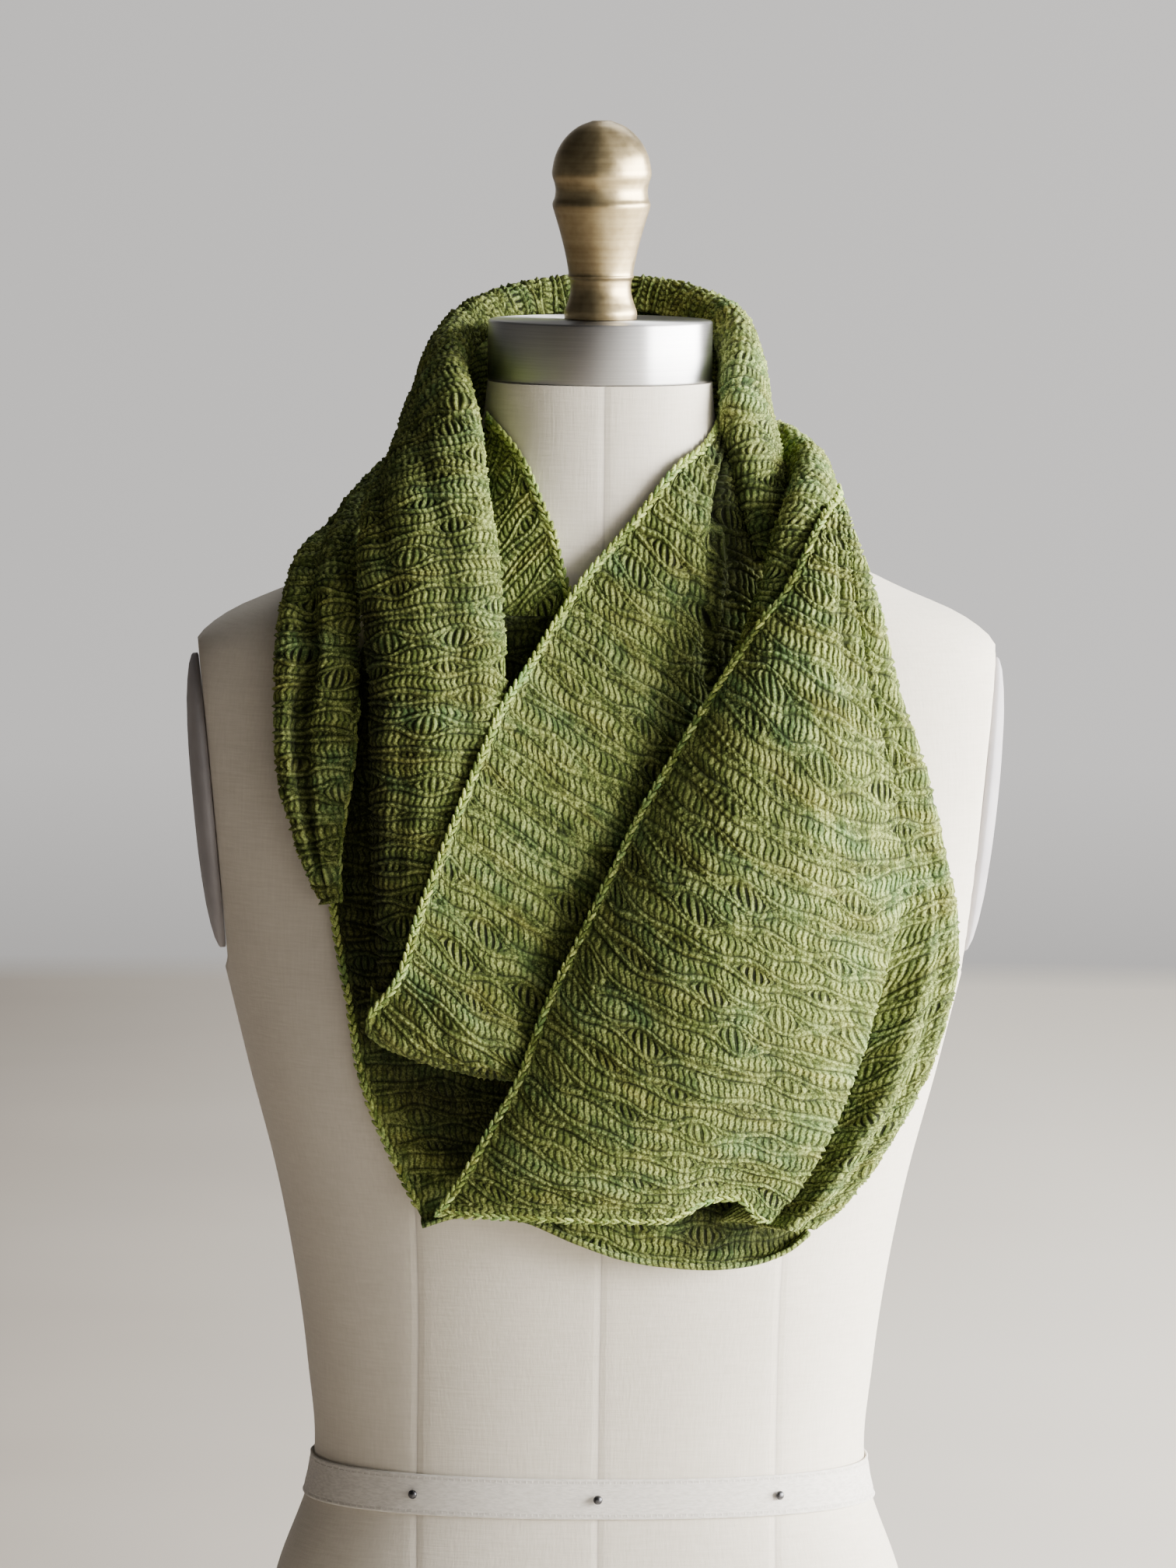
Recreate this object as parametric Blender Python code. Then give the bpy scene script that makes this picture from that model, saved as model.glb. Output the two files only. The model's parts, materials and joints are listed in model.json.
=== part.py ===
"""An infinity scarf, knitted as one joined strip and wound twice, on a limbless dress form.

Metres, +Z up, the wearer's front towards -Y. The origin is the middle of the form's flat base.
The tables below are in millimetres, a row for each section, and functions turn them into walls of cloth.
"""
from collections import namedtuple
import math

import bmesh
import bpy
from mathutils import Vector
from mathutils.bvhtree import BVHTree
import numpy as np

MM = 0.001

# ---- driving dimensions of the dress form (mm) ----
NECK_TOP = 757.0
CAP_RADIUS = 53.0
CAP_HEIGHT = 28.5
WAIST_Z = 236.0
TAPE_WIDTH = 19.0
TAPE_THICKNESS = 1.2
PIN_RADIUS = 2.2
PIN_SPACING = 86.0
ARM_PLANE_LOW = (500.0, 175.5)    # height and distance from the middle of the cut armhole's plane
ARM_PLANE_HIGH = (630.0, 188.5)
ARM_PLATE_CENTRE_Z = 556.0
ARM_PLATE_HALF_HEIGHT = 70.0
ARM_PLATE_HALF_DEPTH = 40.0
ARM_PLATE_CENTRE_Y = 3.0
ARM_CUT_BELOW = 20.0              # the armhole's cut starts this far below its plane's low point
BODY_SQUARENESS = 2.3
FORM_SIDES = 44
CAP_SIDES = 40
PLATE_SIDES = 28
FINIAL_SIDES = 20
PIN_SIDES = 10
CLEARANCE = 0.3                   # gap between pieces that touch
FACET_ROOM = 0.35                 # extra room for the flats of a curved side
PIN_ROOM = 0.5                    # extra room for a flat pin head on the curved tape

# ---- driving dimensions of the cloth (mm) ----
CLOTH = 2.2                       # thickness of the knitted wall
SEAM_GAP = 0.4                    # between two stretches of one strip
REST_GAP = 0.4                    # between a panel and what it lies on
SLIT_HALF_ANGLE = 34.0            # a bunched stretch is open along its hidden side

FormRing = namedtuple("FormRing", "z half_width front back middle_y")
FORM_RINGS = [
    FormRing(0, 168, 104, 126, 0),
    FormRing(50, 172, 108, 131, 0),
    FormRing(120, 164, 106, 124, 0),
    FormRing(190, 148, 100, 106, 0),
    FormRing(240, 131.5, 95, 93, 0),
    FormRing(290, 134.5, 100, 94, 0),
    FormRing(330, 140, 108, 97, 0),
    FormRing(381, 150, 118, 102, 0),
    FormRing(430, 163, 124, 106, 0),
    FormRing(470, 173, 120, 110, 0),
    FormRing(510, 183, 110, 114, 0),
    FormRing(550, 192, 100, 115, 0),
    FormRing(592, 196, 90, 112, 0),
    FormRing(620, 194, 82, 104, -1),
    FormRing(636, 187, 77, 96, -2),
    FormRing(647, 172, 74, 90, -3),
    FormRing(658, 147, 70, 84, -5),
    FormRing(670, 122, 66, 78, -6),
    FormRing(682, 98, 62, 71, -8),
    FormRing(694, 78, 59, 66, -9),
    FormRing(706, 66, 57, 61, -11),
    FormRing(720, 59.5, 55.5, 57, -12),
    FormRing(738, 55, 54, 54.5, -13),
    FormRing(NECK_TOP, 53, 53, 53, -15),
]

# Heights at which the form's outline is built, with the tape's two edges among them.
FORM_LEVELS = [
    0, 30, 70, 115, 160, 195, WAIST_Z - TAPE_WIDTH / 2, WAIST_Z + TAPE_WIDTH / 2, 272, 305, 340, 375, 405,
    432, 460, 488, 515, 545, 572, 595, 612, 625, 635, 644, 653, 662, 672, 683, 694, 705, 718, 735, NECK_TOP,
]

# Profiles, from the bottom up: the arm plate's share of its outline, the cap, a pin's head and the finial.
PlateStep = namedtuple("PlateStep", "share lift")
ARM_PLATE_STEPS = [
    PlateStep(1.0, 0.0), PlateStep(1.0, 3.0), PlateStep(0.93, 5.0), PlateStep(0.7, 7.6), PlateStep(0.35, 9.0),
]
Turned = namedtuple("Turned", "height radius")
CAP_PROFILE = [
    Turned(0.0, CAP_RADIUS - 0.8), Turned(0.8, CAP_RADIUS), Turned(CAP_HEIGHT - 1.0, CAP_RADIUS),
    Turned(CAP_HEIGHT, CAP_RADIUS - 1.0),
]
PIN_PROFILE = [
    Turned(0.0, 1.6), Turned(0.9, PIN_RADIUS), Turned(2.0, 1.7), Turned(2.6, 0.7),
]
FINIAL_PROFILE = [
    Turned(0.0, 17.0), Turned(3.5, 17.2), Turned(8.0, 15.6), Turned(13.0, 14.4), Turned(18.0, 14.6),
    Turned(20.0, 15.6), Turned(22.5, 15.4), Turned(32.0, 17.2), Turned(42.0, 19.8), Turned(50.0, 22.2),
    Turned(54.0, 23.2), Turned(57.0, 22.2), Turned(60.5, 21.8), Turned(64.0, 22.3), Turned(67.5, 23.4),
    Turned(71.0, 23.3), Turned(78.0, 21.6), Turned(85.0, 17.6), Turned(90.5, 11.5), Turned(93.5, 4.5),
]

# A bunched stretch: its middle, its half width and half depth, and which way its outer side faces.
# face turns from 0 (front) to -90 (left as seen from the front) and 180 (back); tilt raises it.
Station = namedtuple("Station", "x y z half_width half_depth face tilt")
INNER_ROUND = [
    Station(-83, -127, 481, 21, 9, -6, 0),
    Station(-83, -123, 508, 23, 11, -6, 0),
    Station(-81, -118, 541, 27, 14, -7, 0),
    Station(-79, -111, 580, 30, 16, -8, 0),
    Station(-78, -106, 612, 31, 17, -8, 0),
    Station(-80, -99, 645, 32, 17, -10, 0),
    Station(-83, -90, 676, 33, 17, -16, 6),
    Station(-84, -74, 704, 31, 15.5, -28, 14),
    Station(-81, -46, 728, 31, 13.5, -52, 16),
    Station(-77, -6, 745, 33, 12.5, -90, 12),
    Station(-62, 32, 757, 33, 12.5, -128, 8),
    Station(-34, 57, 766, 33, 12.5, -156, 5),
    Station(0, 65, 770, 33, 12.5, -180, 5),
    Station(34, 57, 768, 33, 12.5, -204, 5),
    Station(60, 32, 762, 31, 12.5, -234, 5),
    Station(68, 0, 752, 29, 12, -266, 6),
    Station(70, -22, 739, 26, 12, -286, 8),
    Station(73, -40, 718, 16, 11, -304, 10),
    Station(77, -53, 694, 10, 7, -320, 8),
]
LEFT_ROLL_SPAN = (0.0, 8.5)
NECK_BACK_SPAN = (8.5, 14.5)
RIGHT_ROLL_SPAN = (14.5, 18.0)

OUTER_ROUND = [
    Station(-127, -94, 516, 3.6, 4.5, -10, 0),
    Station(-133, -93, 545, 10, 8, -12, 0),
    Station(-135, -89, 578, 17, 11, -15, 0),
    Station(-134.5, -83, 610, 19, 13, -18, 0),
    Station(-134, -76, 638, 19, 13, -22, 6),
    Station(-131, -63, 660, 18.5, 12.5, -34, 26),
    Station(-125, -38, 678, 19, 11, -54, 44),
    Station(-115, 4, 688, 20, 10, -92, 44),
    Station(-95, 50, 697, 27, 11.5, -130, 28),
    Station(-52, 82, 702, 34, 12, -160, 16),
    Station(0, 93, 704, 36, 12, -180, 12),
    Station(52, 82, 705, 34, 12, -200, 10),
    Station(88, 46, 707, 28, 11.5, -232, 10),
    Station(99, 4, 706, 22, 10.5, -268, 6),
    Station(100, -30, 704, 21.5, 10.5, -282, 6),
    Station(99, -59, 698, 17, 10.5, -310, 6),
    Station(92, -77, 684, 13.5, 11, -332, 4),
    Station(85, -88, 662, 12.5, 11, -342, 0),
    Station(75, -97, 640, 11, 10, -346, 0),
    Station(63, -105, 620, 8, 7, -350, 0),
]
LEFT_OUTER_SPAN = (0.0, 7.0)
BACK_OUTER_SPAN = (7.0, 13.0)
RIGHT_FOLD_SPAN = (13.0, 19.0)
LEFT_CREASE_ANGLE = -8.0          # the valley between the two folds on the left shoulder
LEFT_CREASE_WIDTH = 22.0
LEFT_CREASE_DEPTH = 6.5
FULL_CREASE_WIDTH = 19.0          # a stretch narrower than this has a shallower crease

# Edge of the inner round that lies on the neck: its free edge and its hidden edge.
NeckRow = namedtuple("NeckRow", "free_x free_z hidden_x hidden_z")
NECK_LEFT_ROWS = [
    NeckRow(-51.5, 742, -55, 722),
    NeckRow(-43, 732, -57, 708),
    NeckRow(-35, 720, -58, 696),
    NeckRow(-29, 705, -58, 684),
    NeckRow(-23, 689, -58, 672),
    NeckRow(-20, 676, -56, 658),
    NeckRow(-16, 661, -54, 642),
    NeckRow(-12, 645, -52, 626),
]
NECK_LEFT_LIFT = 0.9
NECK_SIDE_LIMIT = 0.97            # share of the neck's half width that the layer may reach round

# Back layer of the outer round: its left edge, and the bottom edge along X.
UnderRow = namedtuple("UnderRow", "z left_x right_x")
UNDER_ROWS = [
    UnderRow(600, -106, 40),
    UnderRow(565, -110, 66),
    UnderRow(530, -118, 82),
    UnderRow(508, -124, 87),
    UnderRow(486, -122, 88),
    UnderRow(465, -118, 88),
    UnderRow(435, -113, 87),
    UnderRow(404, -102, 85),
    UnderRow(367, -84, 90),
]
BottomEdge = namedtuple("BottomEdge", "x z")
UNDER_BOTTOM = [
    BottomEdge(-84, 368), BottomEdge(-70, 374), BottomEdge(-40, 375), BottomEdge(-12, 364),
    BottomEdge(8, 358), BottomEdge(32, 354), BottomEdge(58, 353), BottomEdge(78, 356), BottomEdge(92, 362),
]
UNDER_LIFT = 2.6
HANG_FROM_Z = 430.0               # below the bust the layers hang almost straight down
HANG_RETURN = 0.05                # and lean back this much for each mm of drop
LIP_RADIUS = 4.0
LIP_TURN = 150.0

# A panel: left edge, right edge, and how far forward it stands at four places across.
PanelRow = namedtuple("PanelRow", "left_x left_z right_x right_z y0 y1 y2 y3")
FRONT_INNER_ROWS = [
    PanelRow(47, 728, 56, 722, -57, -55, -53, -51),
    PanelRow(33, 719, 60, 706, -70, -69, -67, -63),
    PanelRow(17, 699, 66, 684, -76, -77, -75, -72),
    PanelRow(5, 685, 74, 662, -79, -81, -79, -74),
    PanelRow(-11, 667, 86, 638, -87, -90, -86, -79),
    PanelRow(-26, 645, 96, 610, -99, -101, -94, -87),
    PanelRow(-38, 627, 102, 592, -112, -112, -102, -93),
    PanelRow(-49, 611, 104, 574, -122, -120, -108, -99),
    PanelRow(-63, 580, 103, 540, -133, -129, -117, -110),
    PanelRow(-76, 548, 97, 506, -140, -136, -126, -120),
    PanelRow(-88, 516, 85, 478, -144, -141, -133, -130),
    PanelRow(-94, 494, 71, 458, -146, -144, -138, -136),
    PanelRow(-99, 478, 56, 446, -147, -146, -141, -139),
    PanelRow(-108, 464, 42, 442, -147, -147, -143, -141),
]
FRONT_INNER_SAG = 11.0            # the bottom hangs lower between its two ends,
SAG_LEAN = 0.7                    # lowest a little left of its middle
BOTTOM_FOLD_RADIUS = 5.0
BOTTOM_FOLD_RISE = 16.0

# The outer panel: left edge, right outline, crest height, and the pleat's edge below its apex.
OuterRow = namedtuple("OuterRow", "left_x left_z left_y right_x right_z right_y crest fold_x fold_z pleat")
FRONT_OUTER_ROWS = [
    OuterRow(101, 700, -85, 112, 699, -82, 1, 110, 699, 0),
    OuterRow(96, 688, -93, 119, 683, -88, 3, 115, 684, 0),
    OuterRow(90, 675, -100, 124, 669, -90, 6, 119, 670, 0),
    OuterRow(83, 663, -106, 128, 655, -91, 10, 122, 656, 0),
    OuterRow(72, 650, -111, 134, 637, -93, 14, 126, 639, 0),
    OuterRow(61, 634, -115, 141, 617, -95, 19, 130, 619, 0),
    OuterRow(50, 618, -119, 147, 598, -97, 23, 133, 600, 0),
    OuterRow(33, 591, -124, 155, 573, -99, 27, 136, 575, 0),
    OuterRow(15, 561, -131, 163, 543, -101, 30, 137, 546, 0),
    OuterRow(2, 535, -139, 167, 520, -102, 31, 137, 521, 0),
    OuterRow(-9, 513, -144, 169, 499, -103, 31, 136, 500, 0.08),
    OuterRow(-18, 495, -147, 168, 482, -104, 31, 134, 484, 0.3),
    OuterRow(-27, 477, -150, 165, 465, -105, 30, 130, 467, 0.65),
    OuterRow(-34, 459, -152, 160, 448, -110, 30, 124, 451, 0.9),
    OuterRow(-41, 440, -153, 153, 432, -115, 28, 117, 437, 1),
    OuterRow(-52, 420, -152, 144, 415, -118, 26, 109, 420, 1),
    OuterRow(-63, 400, -150, 133, 397, -122, 23, 100, 402, 1),
    OuterRow(-71, 387, -147, 121, 380, -125, 20, 89, 387, 1),
    OuterRow(-79, 376, -143, 102, 369, -130, 15, 76, 373, 1),
]
PLEAT_UNDER = 15.0                # how far the pleat reaches back under its edge
PLEAT_STEP = 12.0                 # how far the layer below it stands back
SIDE_TURN_RADIUS = 9.0            # the right side turns back over this radius
SIDE_TURN_RUN = 26.0
BACK_LAYER_EDGE = 104.0           # the turned back side stops before the layer behind it begins
HEM_ARCH = 7.0                    # the bottom edge arches up over the hollow at its right
ARCH_X = 44.0
ARCH_WIDTH = 22.0
ARCH_ROWS = 4                     # it fades out over this many rows of the table
FRONT_FLATNESS = 2.2              # how late across the front the panel turns back
CREST_LEAN = 0.85                 # its crest stands a little left of the middle
SIDE_TURN_SHARE = 0.22            # the turn is never wider than this share of the row
PLEAT_DROP = 0.6                  # each layer of the pleat sits this much lower than the one before
OUTER_COLUMNS = 36
FRONT_COLUMNS = 22                # the columns left of the pleat
OUTER_ROWS_BUILT = 22


# ---------------------------------------------------------------- smooth columns
def smooth(knots, values, at):
    """Cubic curve through the values, with its slopes taken from their neighbours."""
    knots = np.asarray(knots, float)
    values = np.asarray(values, float)
    at = np.asarray(at, float)
    slopes = np.gradient(values, knots)
    i = np.clip(np.searchsorted(knots, at, side="right") - 1, 0, len(knots) - 2)
    span = knots[i + 1] - knots[i]
    t = (at - knots[i]) / span
    t2, t3 = t * t, t * t * t
    return (values[i] * (2 * t3 - 3 * t2 + 1) + slopes[i] * span * (t3 - 2 * t2 + t)
            + values[i + 1] * (3 * t2 - 2 * t3) + slopes[i + 1] * span * (t3 - t2))


def column(rows, name, at):
    """One named column of a table, read smoothly between its rows."""
    return smooth(np.arange(len(rows)), [getattr(row, name) for row in rows], at)


# ---------------------------------------------------------------- the form's surface
def form_size(z):
    """Half width, front depth, back depth and middle of the form at a height."""
    heights = [ring.z for ring in FORM_RINGS]
    return [smooth(heights, [getattr(ring, name) for ring in FORM_RINGS], z)
            for name in ("half_width", "front", "back", "middle_y")]


def form_front(x, z):
    """Y of the form's front at (x, z), for |x| inside the form."""
    half_width, front, _, middle = form_size(z)
    across = np.clip(np.abs(x) / half_width, 0.0, 0.995)
    return middle - front * (1 - across ** BODY_SQUARENESS) ** (1 / BODY_SQUARENESS)


def arm_plane(z):
    (z0, x0), (z1, x1) = ARM_PLANE_LOW, ARM_PLANE_HIGH
    return x0 + (z - z0) * (x1 - x0) / (z1 - z0)


# ---------------------------------------------------------------- meshes
def new_object(name, vertices, faces, material):
    mesh = bpy.data.meshes.new(name)
    mesh.from_pydata([tuple(v) for v in vertices], [], faces)
    bm = bmesh.new()
    bm.from_mesh(mesh)
    if bm.calc_volume(signed=True) < 0:
        bmesh.ops.reverse_faces(bm, faces=bm.faces)
    bmesh.ops.triangulate(bm, faces=[f for f in bm.faces if len(f.verts) > 4])
    bm.to_mesh(mesh)
    bm.free()
    mesh.shade_smooth()
    mesh.materials.append(material)
    obj = bpy.data.objects.new(name, mesh)
    bpy.context.scene.collection.objects.link(obj)
    return obj


def material(name, colour, roughness, metallic=0.0):
    made = bpy.data.materials.new(name)
    made.use_nodes = True
    shader = made.node_tree.nodes["Principled BSDF"]
    shader.inputs["Base Color"].default_value = (*colour, 1.0)
    shader.inputs["Roughness"].default_value = roughness
    shader.inputs["Metallic"].default_value = metallic
    return made


def grid_normals(grid):
    normal = np.cross(np.gradient(grid, axis=1), np.gradient(grid, axis=0))
    return normal / np.linalg.norm(normal, axis=2, keepdims=True)


def wall(name, grid, finish, thickness=CLOTH, spare=0):
    """Gives a grid of points, rows by columns in mm, a wall's thickness and closes its four edges.

    The spare rows at both ends only steer the direction of the wall there, and aren't built.
    """
    normal = grid_normals(grid)
    if spare:
        grid, normal = grid[spare:-spare], normal[spare:-spare]
    rows, cols = grid.shape[:2]
    outer = (grid + normal * thickness / 2).reshape(-1, 3)
    inner = (grid - normal * thickness / 2).reshape(-1, 3)
    count = rows * cols
    faces = []
    for r in range(rows - 1):
        for c in range(cols - 1):
            a, b = r * cols + c, r * cols + c + 1
            d, e = a + cols, b + cols
            faces.append((a, b, e, d))
            faces.append((count + a, count + d, count + e, count + b))
    border = ([c for c in range(cols)] + [r * cols + cols - 1 for r in range(1, rows)]
              + [(rows - 1) * cols + c for c in range(cols - 2, -1, -1)]
              + [r * cols for r in range(rows - 2, 0, -1)])
    for a, b in zip(border, border[1:] + border[:1]):
        faces.append((b, a, count + a, count + b))
    return new_object(name, np.vstack([outer, inner]) * MM, faces, finish)


def revolve(name, profile, sides, base, finish):
    """A solid of revolution about a vertical line through base, from (height, radius) rows, in mm."""
    vertices = []
    for height, radius in profile:
        for k in range(sides):
            turn = 2 * math.pi * k / sides
            vertices.append((base[0] + radius * math.cos(turn), base[1] + radius * math.sin(turn),
                             base[2] + height))
    faces = []
    for r in range(len(profile) - 1):
        for k in range(sides):
            n = (k + 1) % sides
            faces.append((r * sides + k, r * sides + n, (r + 1) * sides + n, (r + 1) * sides + k))
    faces.append(tuple(reversed(range(sides))))
    faces.append(tuple(range((len(profile) - 1) * sides, len(profile) * sides)))
    return new_object(name, np.array(vertices) * MM, faces, finish)


# ---------------------------------------------------------------- the dress form
def form_ring(z, sides, grow=0.0):
    """One level of the form: a rounded outline, cut off flat where the arms would start."""
    half_width, front, back, middle = (float(v) for v in form_size(z))
    points = []
    for k in range(sides):
        turn = 2 * math.pi * k / sides
        c, s = math.cos(turn), math.sin(turn)
        reach = (abs(c) ** BODY_SQUARENESS + abs(s) ** BODY_SQUARENESS) ** (-1 / BODY_SQUARENESS)
        x = (half_width + grow) * reach * c
        y = middle + ((back if s > 0 else front) + grow) * reach * s
        limit = arm_plane(z) if z > ARM_PLANE_LOW[0] - ARM_CUT_BELOW else half_width + grow
        points.append((max(-limit, min(limit, x)), y, z))
    return points


def build_torso(finish):
    sides = FORM_SIDES
    vertices = [point for z in FORM_LEVELS for point in form_ring(z, sides)]
    faces = []
    for r in range(len(FORM_LEVELS) - 1):
        for k in range(sides):
            n = (k + 1) % sides
            faces.append((r * sides + k, r * sides + n, (r + 1) * sides + n, (r + 1) * sides + k))
    faces.append(tuple(reversed(range(sides))))
    faces.append(tuple(range((len(FORM_LEVELS) - 1) * sides, len(FORM_LEVELS) * sides)))
    return new_object("form_torso", np.array(vertices) * MM, faces, finish)


def build_tape(finish):
    """The waist tape: a flat band round the form, just clear of it."""
    sides = FORM_SIDES
    low, high = WAIST_Z - TAPE_WIDTH / 2, WAIST_Z + TAPE_WIDTH / 2
    near = CLEARANCE + FACET_ROOM
    far = near + TAPE_THICKNESS
    loops = [form_ring(z, sides, grow) for z, grow in ((low, near), (low, far), (high, far), (high, near))]
    vertices = [point for loop in loops for point in loop]
    faces = []
    for r in range(4):
        s = (r + 1) % 4
        for k in range(sides):
            n = (k + 1) % sides
            faces.append((r * sides + k, r * sides + n, s * sides + n, s * sides + k))
    return new_object("waist_tape", np.array(vertices) * MM, faces, finish)


def build_arm_plate(name, side, finish):
    """An oval plate, slightly domed, that closes the form where an arm would start."""
    sides, steps = PLATE_SIDES, ARM_PLATE_STEPS
    slope = (ARM_PLANE_HIGH[1] - ARM_PLANE_LOW[1]) / (ARM_PLANE_HIGH[0] - ARM_PLANE_LOW[0])
    vertices = []
    for share, lift in steps:
        for k in range(sides):
            turn = 2 * math.pi * k / sides
            z = ARM_PLATE_CENTRE_Z + share * ARM_PLATE_HALF_HEIGHT * math.sin(turn)
            y = ARM_PLATE_CENTRE_Y + share * ARM_PLATE_HALF_DEPTH * math.cos(turn)
            vertices.append((side * (arm_plane(z) + CLEARANCE + lift), y, z - slope * lift))
    faces = []
    for r in range(len(steps) - 1):
        for k in range(sides):
            n = (k + 1) % sides
            faces.append((r * sides + k, r * sides + n, (r + 1) * sides + n, (r + 1) * sides + k))
    faces.append(tuple(reversed(range(sides))))
    faces.append(tuple(range((len(steps) - 1) * sides, len(steps) * sides)))
    return new_object(name, np.array(vertices) * MM, faces, finish)


def build_form(cloth, steel, wood, grey, tape, pin):
    build_torso(cloth)
    neck_y = FORM_RINGS[-1].middle_y
    cap_base = (0.0, neck_y, NECK_TOP + CLEARANCE)
    revolve("neck_cap", CAP_PROFILE, CAP_SIDES, cap_base, steel)
    finial_base = (0.0, neck_y, cap_base[2] + CAP_HEIGHT + CLEARANCE)
    revolve("finial", FINIAL_PROFILE, FINIAL_SIDES, finial_base, wood)
    build_arm_plate("arm_plate_left", -1, grey)
    build_arm_plate("arm_plate_right", 1, grey)
    build_tape(tape)
    for name, x in (("pin_left", -PIN_SPACING), ("pin_centre", 0.0), ("pin_right", PIN_SPACING)):
        y = float(form_front(x, WAIST_Z)) - 2 * CLEARANCE - FACET_ROOM - TAPE_THICKNESS - PIN_ROOM
        slope = math.atan2(float(form_front(x + 1, WAIST_Z) - form_front(x - 1, WAIST_Z)), 2.0)
        head = revolve(name, PIN_PROFILE, PIN_SIDES, (0, 0, 0), pin)
        head.rotation_euler = (math.pi / 2, 0, slope)
        head.location = (x * MM, y * MM, WAIST_Z * MM)


# ---------------------------------------------------------------- stretches of the scarf
def bunched(rows, span, path_steps, ring_steps, crease_depth=0.0):
    """Points of a bunched stretch: a flattened tube along the stations, open along its hidden side."""
    def middle(at):
        return np.stack([column(rows, name, at) for name in ("x", "y", "z")], axis=-1)

    nudge = 0.05                  # a small share of the way between two stations
    ends = []
    for at, inward in ((span[0], 1), (span[1], -1)):
        pace = np.linalg.norm(middle(at + inward * nudge) - middle(at)) / nudge
        ends.append(at + inward * SEAM_GAP / 2 / pace)
    at = np.linspace(ends[0], ends[1], path_steps)
    at = np.concatenate([[at[0] - nudge], at, [at[-1] + nudge]])
    centre = middle(at)
    tangent = middle(at + nudge) - middle(at - nudge)
    tangent /= np.linalg.norm(tangent, axis=1, keepdims=True)
    face = np.radians(column(rows, "face", at))
    tilt = np.radians(column(rows, "tilt", at))
    out = np.stack([np.sin(face) * np.cos(tilt), -np.cos(face) * np.cos(tilt), np.sin(tilt)], axis=-1)
    out -= tangent * np.sum(out * tangent, axis=1, keepdims=True)
    out /= np.linalg.norm(out, axis=1, keepdims=True)
    side = np.cross(tangent, out)
    half_width = column(rows, "half_width", at)
    half_depth = column(rows, "half_depth", at)
    turn = np.radians(np.linspace(-180 + SLIT_HALF_ANGLE, 180 - SLIT_HALF_ANGLE, ring_steps))
    crease = crease_depth * np.exp(-((np.degrees(turn) - LEFT_CREASE_ANGLE) / LEFT_CREASE_WIDTH) ** 2)
    fade = np.clip(half_width / FULL_CREASE_WIDTH, 0.0, 1.0) ** 2
    depth = half_depth[:, None] * np.cos(turn) - crease * fade[:, None]
    width = half_width[:, None] * np.sin(turn)
    return centre[:, None] + side[:, None] * width[..., None] + out[:, None] * depth[..., None]


def neck_left_grid():
    """A single layer on the neck, a little clear of the form all over."""
    at = np.linspace(0, len(NECK_LEFT_ROWS) - 1, 14)[:, None]
    across = np.linspace(0, 1, 6)[None, :]
    x = column(NECK_LEFT_ROWS, "free_x", at) * (1 - across) + column(NECK_LEFT_ROWS, "hidden_x", at) * across
    z = column(NECK_LEFT_ROWS, "free_z", at) * (1 - across) + column(NECK_LEFT_ROWS, "hidden_z", at) * across
    half_width = form_size(z)[0]
    x = np.clip(x, -NECK_SIDE_LIMIT * half_width, None)
    grid = np.stack([x, form_front(x, z), z], axis=-1)
    normal = grid_normals(grid)
    forward = np.sign(-normal[..., 1:2])
    return grid + forward * normal * (NECK_LEFT_LIFT + CLOTH / 2)


def chest_front(x, z):
    """What a hanging layer lies on: the form down to its bust, then almost straight down."""
    hang = form_front(x, np.maximum(z, HANG_FROM_Z))
    return hang + HANG_RETURN * np.maximum(HANG_FROM_Z - z, 0.0)


def under_grid():
    """The outer round's back layer, with its bottom edge turned up into a lip."""
    down = np.linspace(0, 1, 14)[:, None]
    at = down * (len(UNDER_ROWS) - 1)
    across = np.linspace(0, 1, 16)[None, :]
    left, right = column(UNDER_ROWS, "left_x", at), column(UNDER_ROWS, "right_x", at)
    x = left + (right - left) * across
    bottom = smooth([edge.x for edge in UNDER_BOTTOM], [edge.z for edge in UNDER_BOTTOM], x[-1:])
    level = column(UNDER_ROWS, "z", at)
    last = UNDER_ROWS[-1].z
    z = level + (bottom - last) * down ** 3
    grid = np.stack([x, chest_front(x, z) - UNDER_LIFT - CLOTH / 2, z], axis=-1)
    lip = []
    for turn in np.radians(np.linspace(0, LIP_TURN, 5)[1:]):
        shift = np.array([0.0, -LIP_RADIUS * (1 - math.cos(turn)), -LIP_RADIUS * math.sin(turn)])
        lip.append(grid[-1] + shift)
    return np.concatenate([grid, np.stack(lip)], axis=0)


def front_inner_grid():
    """The inner panel, folded up behind itself at its bottom."""
    rows = FRONT_INNER_ROWS
    at = np.linspace(0, len(rows) - 1, 18)[:, None]
    across = np.linspace(0, 1, 13)[None, :]
    left_x, left_z = column(rows, "left_x", at), column(rows, "left_z", at)
    right_x, right_z = column(rows, "right_x", at), column(rows, "right_z", at)
    x = left_x + (right_x - left_x) * across
    z = left_z + (right_z - left_z) * across - FRONT_INNER_SAG * np.sin(math.pi * across ** SAG_LEAN) * (at / at[-1])
    depths = [column(rows, name, at[:, 0]) for name in ("y0", "y1", "y2", "y3")]
    y = np.stack([smooth([0, 1 / 3, 2 / 3, 1], [d[r] for d in depths], across[0]) for r in range(len(at))])
    grid = np.stack([x, y, z], axis=-1)
    fold = []
    for turn in np.radians(np.linspace(0, 180, 5)[1:]):
        shift = np.array([0.0, BOTTOM_FOLD_RADIUS * (1 - math.cos(turn)), -BOTTOM_FOLD_RADIUS * math.sin(turn)])
        fold.append(grid[-1] + shift)
    fold.append(fold[-1] + np.array([0.0, 0.0, BOTTOM_FOLD_RISE]))
    return np.concatenate([grid, np.stack(fold)], axis=0)


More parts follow.
